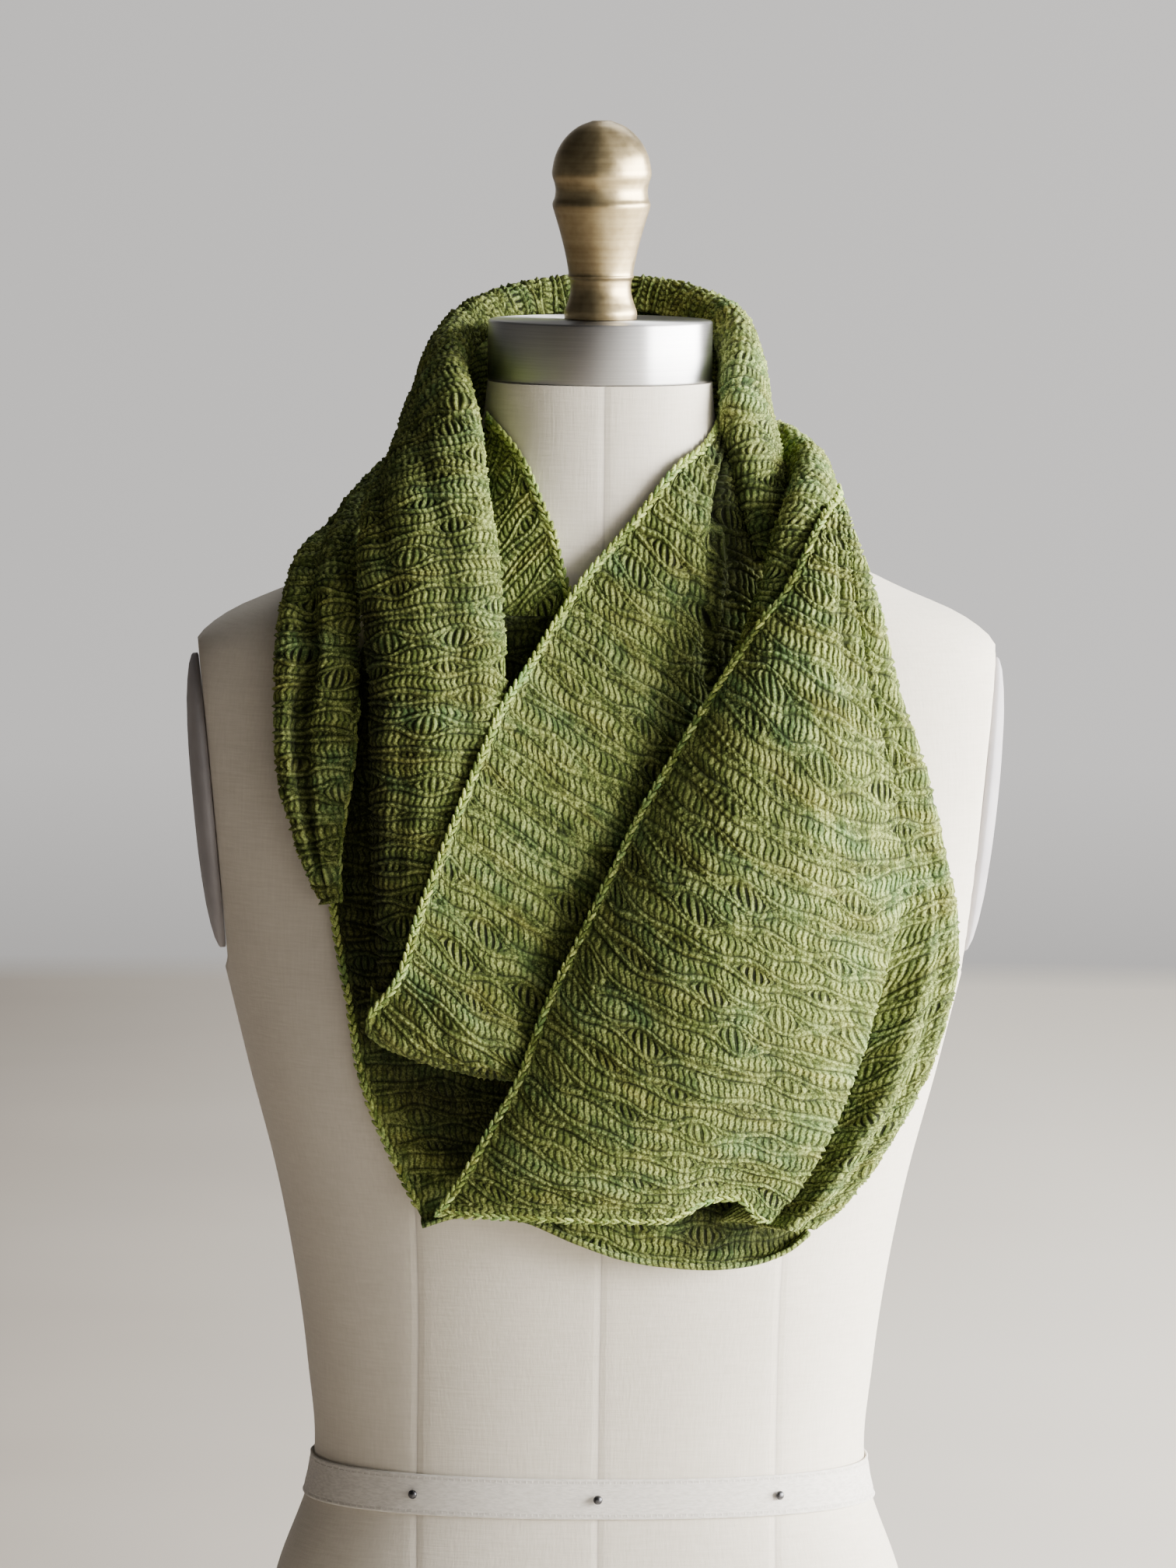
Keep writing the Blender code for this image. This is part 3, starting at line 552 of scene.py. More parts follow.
# %% Neck cap
CAP_PROFILE = [
    Turned(0.0, CAP_RADIUS - 0.8), Turned(0.3, CAP_RADIUS - 0.25), Turned(0.8, CAP_RADIUS),
    Turned(CAP_HEIGHT - 1.1, CAP_RADIUS), Turned(CAP_HEIGHT - 0.5, CAP_RADIUS - 0.2),
    Turned(CAP_HEIGHT - 0.15, CAP_RADIUS - 0.6), Turned(CAP_HEIGHT, CAP_RADIUS - 1.2),
]
STEEL_COLOUR = (0.66, 0.66, 0.66)
STEEL_SCRATCH = (0.55, 0.55, 0.555)


def brushed_steel():
    f = Finish("brushed steel", roughness=0.2, metallic=1.0)
    brushing = f.stretched((26.0, 26.0, 2600.0), detail=4.0)
    tone = f.ramp(brushing, [(0.3, STEEL_SCRATCH), (0.7, STEEL_COLOUR)])
    f.set({"Anisotropic": 0.9, "Anisotropic Rotation": 0.25,
           "Tangent": f.node("Tangent", direction_type="RADIAL", axis="Z")})
    return f.finish(tone, f.bump(brushing, 0.02, 0.0002), f.math("MULTIPLY_ADD", brushing, 0.08, 0.34))


neck_cap = turned("steel_neck_cap", CAP_PROFILE, 160, (0.0, NECK_Y, FORM_TOP + CLEARANCE), brushed_steel(),
                  "neck_cap")
neck_cap.data.set_sharp_from_angle(angle=math.radians(50))
print("neck cap:", 2 * CAP_RADIUS, "mm across")

# %% [markdown]
# ## Arm plates, waist tape and pins
#
# Grey oval plates close the armholes. A cotton tape marks the waist, sewn down along both edges, and three
# pins hold it. Each is small, but a plain band would look like painted plastic: the tape has a rolled edge,
# a weave and a row of stitches.

# %% Arm plates
PlateStep = namedtuple("PlateStep", "share lift")
ARM_PLATE_STEPS = [
    PlateStep(0.985, 0.0), PlateStep(1.0, 0.4), PlateStep(1.0, 2.6), PlateStep(0.99, 3.4),
    PlateStep(0.93, 5.0), PlateStep(0.83, 6.4), PlateStep(0.7, 7.6), PlateStep(0.52, 8.5),
    PlateStep(0.35, 9.0), PlateStep(0.15, 9.2),
]
ARM_PLATE_CENTRE_Y = 3.0
ARM_PLATE_CENTRE_Z = 556.0
ARM_PLATE_HALF_HEIGHT = 70.0
ARM_PLATE_HALF_DEPTH = 40.0
PLATE_SIDES = 96
PLATE_LIGHT = (0.40, 0.385, 0.40)
PLATE_DARK = (0.33, 0.315, 0.33)


def grey_plate_finish():
    f = Finish("grey plate", roughness=0.7, specular=0.35)
    cloud = f.noise(f.place(), 40.0, detail=4.0)
    grain = f.noise(f.place(), 900.0, detail=2.0)
    return f.finish(f.ramp(cloud, [(0.35, PLATE_DARK), (0.65, PLATE_LIGHT)]), f.bump(grain, 0.2, 0.0003))


def build_plate(name, side, node, finish):
    slope = (ARM_PLANE_HIGH[1] - ARM_PLANE_LOW[1]) / (ARM_PLANE_HIGH[0] - ARM_PLANE_LOW[0])
    turn = around(PLATE_SIDES)
    rings = []
    for share, lift in ARM_PLATE_STEPS:
        z = ARM_PLATE_CENTRE_Z + share * ARM_PLATE_HALF_HEIGHT * np.sin(turn)
        y = ARM_PLATE_CENTRE_Y + share * ARM_PLATE_HALF_DEPTH * np.cos(turn)
        rings.append(np.stack([side * (arm_plane(z) + CLEARANCE + lift), y, z - slope * lift], axis=-1))
    dress(stacked(name, np.stack(rings), mirrored=side < 0), finish, node)


plate_finish = grey_plate_finish()
build_plate("oval_plate_left", -1, "arm_plate_left", plate_finish)
build_plate("oval_plate_right", 1, "arm_plate_right", plate_finish)
print("arm plates:", 2 * ARM_PLATE_HALF_HEIGHT, "by", 2 * ARM_PLATE_HALF_DEPTH, "mm")

# %% Waist tape
WAIST_Z = 236.0
TAPE_WIDTH = 19.0
TAPE_THICKNESS = 1.2
FACET_ROOM = 0.35                 # the form's flat facets lie this much inside its true curve
PIN_ROOM = 0.5                    # between the tape and the pin heads
PIN_SPACING = 86.0
TAPE_COLOUR = (0.72, 0.685, 0.63)
TAPE_SHADE = (0.58, 0.55, 0.50)
THREAD_COLOUR = (0.45, 0.42, 0.38)
STITCH_ROW = 0.41                 # the rows of stitches, in shares of the tape's width from its middle
STITCH_LENGTH = 1.4
TapeEdge = namedtuple("TapeEdge", "rise lift")
TAPE_SECTION = [
    TapeEdge(-1.0, 0.15), TapeEdge(-1.0, 0.7), TapeEdge(-0.96, 1.0), TapeEdge(-0.82, 0.8),
    TapeEdge(-0.6, 1.0), TapeEdge(0.0, 1.0), TapeEdge(0.6, 1.0), TapeEdge(0.82, 0.8),
    TapeEdge(0.96, 1.0), TapeEdge(1.0, 0.7), TapeEdge(1.0, 0.15), TapeEdge(0.0, 0.0),
]


def tape_finish():
    f = Finish("cotton tape", roughness=0.85, sheen=0.1, specular=0.25)
    x, _, z = f.split(f.place())
    herring = f.stretched((300.0, 300.0, 1100.0))
    from_middle = f.math("ABSOLUTE", f.math("SUBTRACT", z, WAIST_Z * MM))
    from_row = f.math("ABSOLUTE", f.math("MULTIPLY_ADD", from_middle, 1 / MM, -TAPE_WIDTH * STITCH_ROW))
    on_row = f.ramp(from_row, [(0.0, 1.0), (0.45, 0.8), (0.7, 0.0)])
    beside = f.math("PINGPONG", f.math("MULTIPLY", x, 1 / MM), STITCH_LENGTH)
    stitch = f.ramp(beside, [(0.25, 0.0), (0.4, 1.0)])
    sewn = f.math("MULTIPLY", on_row, stitch)
    tone = f.ramp(herring, [(0.3, TAPE_SHADE), (0.65, TAPE_COLOUR)])
    tone = f.mix(f.math("MULTIPLY", sewn, 0.35), tone, THREAD_COLOUR)
    height = f.math("MULTIPLY_ADD", sewn, -0.8, f.math("MULTIPLY", herring, 0.4))
    return f.finish(tone, f.bump(height, 0.5, 0.0005))


def build_tape(finish):
    near = CLEARANCE + FACET_ROOM
    rings = [form_ring(WAIST_Z + edge.rise * TAPE_WIDTH / 2, FORM_SIDES, near + edge.lift * TAPE_THICKNESS)
             for edge in TAPE_SECTION]
    tape = mesh_object("cotton_waist_tape", np.concatenate(rings),
                       grid_quads(len(TAPE_SECTION), FORM_SIDES, closed=True, looped=True))
    dress(tape, finish, "waist_tape")


build_tape(tape_finish())
print("tape:", TAPE_WIDTH, "mm wide, at", WAIST_Z, "mm")

# %% Pins
PIN_LIGHT = (0.16, 0.16, 0.17)
PIN_DARK = (0.06, 0.06, 0.065)
PIN_PROFILE = [Turned(0.0, 1.5), Turned(0.5, 2.0), Turned(1.0, 2.2), Turned(1.6, 2.05), Turned(2.1, 1.6),
               Turned(2.45, 1.0), Turned(2.6, 0.4)]


def pin_finish():
    f = Finish("dark pin", roughness=0.35, metallic=1.0)
    return f.finish(f.ramp(f.noise(f.place(), 900.0), [(0.35, PIN_DARK), (0.7, PIN_LIGHT)]))


pin_metal = pin_finish()
for name, node, x in (("pin_head_left", "pin_left", -PIN_SPACING), ("pin_head_centre", "pin_centre", 0.0),
                      ("pin_head_right", "pin_right", PIN_SPACING)):
    head = turned(name, PIN_PROFILE, 28, (0.0, 0.0, 0.0), pin_metal, node, steps=20)
    y = float(form_front(x, WAIST_Z)) - 2 * CLEARANCE - FACET_ROOM - TAPE_THICKNESS - PIN_ROOM
    slope = math.atan2(float(form_front(x + 1, WAIST_Z) - form_front(x - 1, WAIST_Z)), 2.0)
    head.rotation_euler = (math.pi / 2, 0.0, slope)
    head.location = (x * MM, y * MM, WAIST_Z * MM)
print("three pins,", PIN_SPACING, "mm apart")

# %% [markdown]
# ## The drape: bunched stretches
#
# Round the neck and over the shoulders the strip is bunched into soft rolls. Each roll follows a row of
# stations: where its middle is, how wide and deep it is there, and which way it faces. A cloth simulation
# could drop a strip onto the form, but it would never settle into this one drape, so the stations are listed
# and the curve between them is smooth.

# %% Bunched stretches: stations
CLOTH = 2.2                       # thickness of the knit
SEAM_GAP = 0.4                    # between two stretches of the strip
SLIT_HALF_ANGLE = 34.0            # a roll stays open along its hidden side, this far to either side
FREE_EDGE_ANGLE = 97.0            # where the strip's own edge lies on a roll that shows it
FREE_EDGE_FADE = 1.2              # stations over which that edge goes back behind the roll
Station = namedtuple("Station", "x y z half_width half_depth face tilt")
INNER_ROUND = [
    Station(-83, -127, 481, 21, 9, -6, 0),
    Station(-83, -123, 508, 23, 11, -6, 0),
    Station(-81, -118, 541, 27, 14, -7, 0),
    Station(-79, -111, 580, 30, 16, -8, 0),
    Station(-78, -106, 612, 31, 17, -8, 0),
    Station(-80, -99, 645, 32, 17, -10, 0),
    Station(-83, -90, 676, 33, 17, -16, 6),
    Station(-84, -74, 704, 31, 15.5, -28, 14),
    Station(-81, -46, 728, 31, 13.5, -52, 16),
    Station(-77, -6, 745, 33, 12.5, -90, 12),
    Station(-62, 32, 757, 33, 12.5, -128, 8),
    Station(-34, 57, 766, 33, 12.5, -156, 5),
    Station(0, 65, 770, 33, 12.5, -180, 5),
    Station(34, 57, 768, 33, 12.5, -204, 5),
    Station(60, 32, 762, 31, 12.5, -234, 5),
    Station(68, 0, 752, 29, 12, -266, 6),
    Station(70, -22, 739, 26, 12, -286, 8),
    Station(73, -40, 718, 16, 11, -304, 10),
    Station(77, -53, 694, 10, 7, -320, 8),
    Station(80, -58, 674, 6, 5, -326, 4),
    Station(82, -62, 656, 3, 3, -332, 0),
]
LEFT_ROLL_SPAN = (0.0, 8.5)
NECK_BACK_SPAN = (8.5, 14.5)
RIGHT_ROLL_SPAN = (14.5, 20.0)
OUTER_ROUND = [
    Station(-127, -94, 516, 3.6, 4.5, -10, 0),
    Station(-133, -93, 545, 10, 8, -12, 0),
    Station(-135, -89, 578, 17, 11, -15, 0),
    Station(-134.5, -83, 610, 19, 13, -18, 0),
    Station(-134, -76, 638, 19, 13, -22, 6),
    Station(-131, -63, 660, 18.5, 12.5, -34, 26),
    Station(-125, -38, 678, 19, 11, -54, 44),
    Station(-115, 4, 688, 20, 10, -92, 44),
    Station(-95, 50, 697, 27, 11.5, -130, 28),
    Station(-52, 82, 702, 34, 12, -160, 16),
    Station(0, 93, 704, 36, 12, -180, 12),
    Station(52, 82, 705, 34, 12, -200, 10),
    Station(88, 46, 707, 28, 11.5, -232, 10),
    Station(99, 4, 706, 22, 10.5, -268, 6),
    Station(100, -30, 704, 21.5, 10.5, -282, 6),
    Station(99, -59, 698, 17, 10.5, -310, 6),
    Station(92, -77, 684, 13.5, 11, -332, 4),
    Station(85, -88, 662, 12.5, 11, -342, 0),
    Station(75, -97, 640, 11, 10, -346, 0),
    Station(63, -105, 620, 8, 7, -350, 0),
]
LEFT_OUTER_SPAN = (0.0, 7.0)
BACK_OUTER_SPAN = (7.0, 13.0)
RIGHT_FOLD_SPAN = (13.0, 19.0)
LEFT_CREASE_ANGLE = -8.0          # a crease runs down the left outer roll, a little left of its middle
LEFT_CREASE_WIDTH = 22.0
LEFT_CREASE_DEPTH = 6.5
FULL_CREASE_WIDTH = 19.0          # it gets shallower where the roll is less than this half width
print("inner round:", len(INNER_ROUND), "stations; outer round:", len(OUTER_ROUND))


# %% Bunched stretches: points
NUDGE = 0.05                      # a small share of the way between two stations


def bunched(rows, span, path_steps, ring_steps, crease_depth=0.0, free_edge=None):
    """Points of a bunched stretch: a flattened tube along the stations, open along its hidden side.
    Up to the station free_edge the strip's own edge lies at the tube's side, not behind it."""
    def middle(at):
        return smooth(np.arange(len(rows)), [row[:3] for row in rows], at)

    ends = []
    for at, inward in ((span[0], 1), (span[1], -1)):
        pace = np.linalg.norm(middle(at + inward * NUDGE) - middle(at)) / NUDGE
        ends.append(at + inward * SEAM_GAP / 2 / pace)
    at = np.linspace(ends[0], ends[1], path_steps)
    tangent = unit(middle(at + NUDGE) - middle(at - NUDGE))
    face = np.radians(column(rows, "face", at))
    tilt = np.radians(column(rows, "tilt", at))
    out = np.stack([np.sin(face) * np.cos(tilt), -np.cos(face) * np.cos(tilt), np.sin(tilt)], axis=-1)
    out = unit(out - tangent * np.sum(out * tangent, axis=1, keepdims=True))
    side = np.cross(tangent, out)
    half_width = column(rows, "half_width", at)
    last = np.full(path_steps, 180 - SLIT_HALF_ANGLE)
    if free_edge is not None:
        behind = ramp(at, free_edge, free_edge + FREE_EDGE_FADE)
        last = FREE_EDGE_ANGLE + (last - FREE_EDGE_ANGLE) * behind
    share = np.linspace(0, 1, ring_steps)[None, :]
    turn = np.radians(-180 + SLIT_HALF_ANGLE + (last[:, None] + 180 - SLIT_HALF_ANGLE) * share)
    crease = crease_depth * np.exp(-((np.degrees(turn) - LEFT_CREASE_ANGLE) / LEFT_CREASE_WIDTH) ** 2)
    fade = np.clip(half_width / FULL_CREASE_WIDTH, 0.0, 1.0) ** 2
    depth = column(rows, "half_depth", at)[:, None] * np.cos(turn) - crease * fade[:, None]
    width = half_width[:, None] * np.sin(turn)
    return middle(at)[:, None] + side[:, None] * width[..., None] + out[:, None] * depth[..., None]


left_roll = bunched(INNER_ROUND, LEFT_ROLL_SPAN, 60, 9)
print("left roll:", round(float(lengths(left_roll, axis=0)[-1].mean())), "mm long")

# %% [markdown]
# ## The drape: panels
#
# In front the strip spreads into wide panels that cross over the chest. A table gives each panel's left and
# right edge and how far forward it stands, row by row; the pleat at the lower right is a few extra points
# in each section that fold back under its edge.

# %% Neck layer
NeckRow = namedtuple("NeckRow", "free_x free_z hidden_x hidden_z")
NECK_LEFT_ROWS = [
    NeckRow(-51.5, 742, -55, 722),
    NeckRow(-43, 732, -57, 708),
    NeckRow(-35, 720, -58, 696),
    NeckRow(-29, 705, -58, 684),
    NeckRow(-23, 689, -58, 672),
    NeckRow(-20, 676, -56, 658),
    NeckRow(-16, 661, -54, 642),
    NeckRow(-12, 645, -52, 626),
    NeckRow(-7, 630, -51, 606),
    NeckRow(-2, 615, -50, 588),
]
NECK_LEFT_LIFT = 0.9
SIDE_LIMIT = 0.97                 # beyond this share of its half width, the form curves too far away


def neck_left_grid(rows, columns):
    """A single layer on the neck, a little clear of the form all over."""
    at = np.linspace(0, len(NECK_LEFT_ROWS) - 1, rows)[:, None]
    across = np.linspace(0, 1, columns)[None, :]
    free_x, free_z, hidden_x, hidden_z = (column(NECK_LEFT_ROWS, name, at) for name in NeckRow._fields)
    x = free_x * (1 - across) + hidden_x * across
    z = free_z * (1 - across) + hidden_z * across
    x = np.clip(x, -SIDE_LIMIT * form_size(z)[0], None)
    grid = np.stack([x, form_front(x, z), z], axis=-1)
    normal = surface_normals(grid)
    return grid + np.sign(-normal[..., 1:2]) * normal * (NECK_LEFT_LIFT + CLOTH / 2)


print("neck layer:", len(NECK_LEFT_ROWS), "rows")

# %% Hidden back layer
UnderRow = namedtuple("UnderRow", "z left_x right_x")
UNDER_ROWS = [
    UnderRow(650, -106, 20),
    UnderRow(614, -120, 40),
    UnderRow(576, -129, 66),
    UnderRow(542, -129, 82),
    UnderRow(510, -126, 87),
    UnderRow(486, -122, 88),
    UnderRow(465, -118, 88),
    UnderRow(435, -113, 88),
    UnderRow(404, -102, 92),
    UnderRow(367, -84, 97),
]
BottomEdge = namedtuple("BottomEdge", "x z")
UNDER_BOTTOM = [
    BottomEdge(-84, 371), BottomEdge(-70, 376), BottomEdge(-40, 376), BottomEdge(-12, 365),
    BottomEdge(8, 358), BottomEdge(32, 354), BottomEdge(58, 353), BottomEdge(77, 356), BottomEdge(89, 361),
    BottomEdge(98, 368),
]
UNDER_LIFT = 2.6
HANG_FROM_Z = 430.0               # the bust, from where the layer hangs free
HANG_RETURN = 0.05                # and comes back this much for each mm down
LIP_RADIUS = 4.0
LIP_TURN = 150.0


def turned_up(grid, turns, radius):
    """Rows that carry a grid on past its last row, round and up: behind it, or in front if radius < 0."""
    return [grid[-1] + np.array([0.0, radius * (1 - math.cos(turn)), -abs(radius) * math.sin(turn)])
            for turn in np.radians(turns)]


def chest_front(x, z):
    """What a hanging layer lies on: the form down to its bust, then almost straight down."""
    hang = form_front(x, np.maximum(z, HANG_FROM_Z))
    return hang + HANG_RETURN * np.maximum(HANG_FROM_Z - z, 0.0)


def under_grid(rows, columns, lip_rows):
    """The outer round's back layer, with its bottom edge turned up into a lip."""
    down = np.linspace(0, 1, rows)[:, None]
    at = down * (len(UNDER_ROWS) - 1)
    across = np.linspace(0, 1, columns)[None, :]
    left, right = column(UNDER_ROWS, "left_x", at), column(UNDER_ROWS, "right_x", at)
    x = left + (right - left) * across
    bottom = smooth([edge.x for edge in UNDER_BOTTOM], [edge.z for edge in UNDER_BOTTOM], x[-1:])
    z = column(UNDER_ROWS, "z", at) + (bottom - UNDER_ROWS[-1].z) * down ** 3
    grid = np.stack([x, chest_front(x, z) - UNDER_LIFT - CLOTH / 2, z], axis=-1)
    lip = turned_up(grid, np.linspace(0, LIP_TURN, lip_rows + 1)[1:], -LIP_RADIUS)
    return np.concatenate([grid, np.stack(lip)], axis=0)


print("back layer:", len(UNDER_ROWS), "rows")

# %% Inner panel
PanelRow = namedtuple("PanelRow", "left_x left_z right_x right_z y0 y1 y2 y3")
FRONT_INNER_ROWS = [
    PanelRow(59, 750, 63, 746, -8, -8, -8, -8),
    PanelRow(55, 740, 64, 732, -34, -34, -34, -33),
    PanelRow(47, 729, 66, 718, -56, -56, -52, -45),
    PanelRow(33, 719, 72, 702, -70, -70, -60, -45),
    PanelRow(17, 699, 80, 682, -76, -79, -68, -50),
    PanelRow(5, 685, 86, 662, -79, -83, -74, -58),
    PanelRow(-11, 667, 92, 638, -87, -92, -82, -70),
    PanelRow(-26, 645, 96, 610, -99, -103, -92, -84),
    PanelRow(-38, 627, 102, 592, -112, -112, -102, -93),
    PanelRow(-49, 611, 104, 574, -122, -120, -108, -99),
    PanelRow(-63, 580, 103, 540, -133, -129, -117, -110),
    PanelRow(-76, 548, 97, 506, -140, -136, -126, -120),
    PanelRow(-88, 516, 85, 478, -144, -141, -133, -130),
    PanelRow(-94, 494, 71, 458, -146, -144, -138, -136),
    PanelRow(-99, 480, 56, 446, -147, -147, -141, -139),
    PanelRow(-109, 466, 42, 442, -146, -149, -143, -141),
]
FRONT_INNER_SAG = 11.0
SAG_LEAN = 0.7
BOTTOM_FOLD_RADIUS = 6.5
BOTTOM_FOLD_RISE = 16.0


def front_inner_grid(rows, columns, fold_rows):
    """The inner panel, folded up behind itself at its bottom."""
    table = FRONT_INNER_ROWS
    at = np.linspace(0, len(table) - 1, rows)[:, None]
    across = np.linspace(0, 1, columns)[None, :]
    left_x, left_z = column(table, "left_x", at), column(table, "left_z", at)
    right_x, right_z = column(table, "right_x", at), column(table, "right_z", at)
    x = left_x + (right_x - left_x) * across
    sag = FRONT_INNER_SAG * np.sin(math.pi * across ** SAG_LEAN) * (at / at[-1])
    z = left_z + (right_z - left_z) * across - sag
    depths = np.stack([column(table, name, at[:, 0]) for name in ("y0", "y1", "y2", "y3")])
    y = smooth([0, 1 / 3, 2 / 3, 1], depths, across[0]).T
    grid = np.stack([x, y, z], axis=-1)
    share = np.linspace(0, 1, fold_rows + 1)[1:]
    fold = turned_up(grid, 180 * share, BOTTOM_FOLD_RADIUS)
    rise = [fold[-1] + np.array([0.0, 0.0, BOTTOM_FOLD_RISE * step]) for step in share]
    return np.concatenate([grid, np.stack(fold + rise)], axis=0)


print("inner panel:", len(FRONT_INNER_ROWS), "rows")

# %% Outer panel: rows
OuterRow = namedtuple("OuterRow", "left_x left_z left_y right_x right_z right_y crest fold_x fold_z pleat")
FRONT_OUTER_ROWS = [
    OuterRow(112, 708, -20, 114, 701, -19, 0, 113, 703, 0),
    OuterRow(111, 707, -42, 114, 701, -40, 0, 113, 703, 0),
    OuterRow(108, 704, -62, 114, 700, -59, 0, 112, 701, 0),
    OuterRow(103, 699, -78, 114, 697, -74, 1, 111, 697, 0),
    OuterRow(96, 688, -93, 119, 683, -88, 3, 115, 684, 0),
    OuterRow(90, 675, -100, 124, 669, -90, 6, 119, 670, 0),
    OuterRow(83, 663, -106, 128, 655, -91, 10, 122, 656, 0),
    OuterRow(72, 650, -111, 132.5, 637, -93, 14, 126, 639, 0),
    OuterRow(61, 634, -115, 137, 617, -95, 19, 130, 619, 0),
    OuterRow(50, 618, -119, 144, 598, -97, 23, 133, 600, 0),
    OuterRow(33, 591, -124, 152, 573, -99, 27, 136, 575, 0),
    OuterRow(15, 561, -131, 158.5, 543, -101, 30, 134, 546, 0.02),
    OuterRow(2, 535, -139, 164, 520, -102, 31, 132, 521, 0.12),
    OuterRow(-9, 513, -144, 165.5, 499, -103, 31, 127, 500, 0.32),
    OuterRow(-18, 495, -147, 164.5, 482, -104, 31, 123.5, 484, 0.6),
    OuterRow(-27, 477, -150, 160.5, 465, -105, 30, 118.5, 467, 0.86),
    OuterRow(-34, 459, -152, 155, 448, -110, 30, 113.5, 451, 1),
    OuterRow(-41, 440, -153, 148, 432, -115, 28, 108.5, 437, 1),
    OuterRow(-52, 420, -152, 138, 415, -118, 26, 102.5, 420, 1),
    OuterRow(-63, 400, -150, 126.5, 397, -122, 23, 94.5, 402, 1),
    OuterRow(-71, 387, -147, 113, 380, -125, 20, 86, 387, 1),
    OuterRow(-79, 376, -143, 99, 369, -130, 15, 74, 373, 1),
]
print("outer panel:", len(FRONT_OUTER_ROWS), "rows")

# %% [markdown]
# ## The pleat
#
# Seen from above, a row of the outer panel is one long curve: along the front, over the edge of the pleat,
# back under it, forward again, and round at the right side. Its points are set one after another, and the
# share called pleat blends them with a row that runs straight on, so the pleat grows out of the flat cloth.

# %% Outer panel: one row
PLEAT_UNDER = 15.0
PLEAT_STEP = 21.0
LOW_PLEAT_STEP = 15.0             # shallower near the hem, where the back layer is close
LOW_PLEAT_FROM = 385.0
LOW_PLEAT_TO = 430.0
PLEAT_DROP = 0.6
EDGE_POINT = 8                    # the point of a section where the pleat folds back
FOLD_LIMIT = 0.9                  # the fold stays this far short of the right side, as a share
BESIDE_PLEAT = 15.0               # the cloth right of the pleat bulges forward again
SIDE_TURN_RADIUS = 9.0
SIDE_TURN_SHARE = 0.22
SIDE_TURN_RUN = 26.0
BACK_LAYER_EDGE = 104.0
FRONT_FLATNESS = 2.2
CREST_LEAN = 0.85


def outer_section(row):
    """One row of the outer panel, seen from above, as the points that its curve passes through."""
    left = np.array([row.left_x, row.left_y, row.left_z], float)
    right = np.array([row.right_x, row.right_y, row.right_z], float)
    radius = min(SIDE_TURN_RADIUS, SIDE_TURN_SHARE * (row.right_x - row.left_x))
    start = right - np.array([radius, 0.0, 0.0])
    fold = np.array([min(row.fold_x, left[0] + FOLD_LIMIT * (start[0] - left[0])), 0.0, row.fold_z])

    def front(share, begin, end):
        point = begin + (end - begin) * share
        reach = (point[0] - left[0]) / (right[0] - left[0])
        point[1] = (row.left_y + (row.right_y - row.left_y) * reach ** FRONT_FLATNESS
                    - row.crest * math.sin(math.pi * reach ** CREST_LEAN))
        return point

    to_edge = [front(share, left, fold) for share in np.linspace(0, 1, EDGE_POINT + 1)]
    quarter = (LOW_PLEAT_STEP + (PLEAT_STEP - LOW_PLEAT_STEP)
               * float(ramp(row.fold_z, LOW_PLEAT_FROM, LOW_PLEAT_TO))) / 4
    pleat = [to_edge[-1] + np.array([dx, down * quarter, -down * PLEAT_DROP])
             for dx, down in ((quarter, 1), (0, 2), (-PLEAT_UNDER, 2), (-PLEAT_UNDER - quarter, 3),
                              (-PLEAT_UNDER, 4))]
    inner = pleat[-1]
    for share, forward in ((0.3, 0.0), (0.6, 0.5), (0.85, 1.0), (1.0, 0.55)):
        pleat.append(inner + (start - inner) * share - np.array([0.0, BESIDE_PLEAT * forward, 0.0]))
    straight = [front(share, fold, start) for share in np.linspace(0, 1, len(pleat) + 1)[1:]]
    mixed = to_edge + [a * (1 - row.pleat) + b * row.pleat for a, b in zip(straight, pleat)]
    side = [mixed[-1] + np.array([radius * math.sin(turn), radius * (1 - math.cos(turn)), 0.0])
            for turn in np.radians((45, 90, 135, 180))]
    run_back = min(max(start[0] - BACK_LAYER_EDGE, 3.0), SIDE_TURN_RUN, 0.75 * (right[0] - left[0]))
    return mixed + side + [side[-1] + np.array([-run_back, -1.0, 0.0])]


# %% Outer panel: all rows
DENSE_STEPS = 600
WIDEST_SECTION = -4               # the row whose length spaces the columns evenly
HEM_ARCH = 10.5                   # the hem lifts into a small arch beside the pleat
ARCH_X = 57.0
ARCH_WIDTH = 20.0
ARCH_ROWS = 4


def front_outer_grid(rows, columns):
    """The outer panel, with its columns spaced evenly along its widest row."""
    sections = np.array([outer_section(row) for row in FRONT_OUTER_ROWS])
    keys = np.arange(sections.shape[1])
    dense = np.linspace(0, keys[-1], DENSE_STEPS)
    walked = lengths(smooth(keys, sections[WIDEST_SECTION], dense)[None], axis=1)[0]
    fine_keys = np.interp(np.linspace(0, walked[-1], columns), walked, dense)
    across = np.stack([smooth(keys, section, fine_keys) for section in sections])
    last = len(sections) - 1
    fine_rows = np.linspace(0, last, rows)
    grid = smooth(np.arange(len(sections)), across, fine_rows)
    low = np.clip((fine_rows - last + ARCH_ROWS) / ARCH_ROWS, 0.0, 1.0) ** 2
    left_of_pleat = 1 - ramp(fine_keys, EDGE_POINT - 0.7, EDGE_POINT)
    arch = np.exp(-(np.abs(grid[..., 0] - ARCH_X) / ARCH_WIDTH) ** 3) * left_of_pleat
    grid[..., 2] += HEM_ARCH * low[:, None] * arch
    return grid


print("outer panel:", len(outer_section(FRONT_OUTER_ROWS[0])), "points in a row")

# %% [markdown]
# ## The knit: waves, ridges and dropped stitches
#
# The fabric is a wave lace. Bands of plain stitches, which show as upright strokes, lie between pairs of
# thin garter ridges. Every so often a cluster of long dropped stitches pushes the two ridges apart into a
# lens, and the lenses of the next band sit halfway between, so the ridges run in waves. The pattern is
# worked out from two lengths on the cloth: s across the strip and t along it.

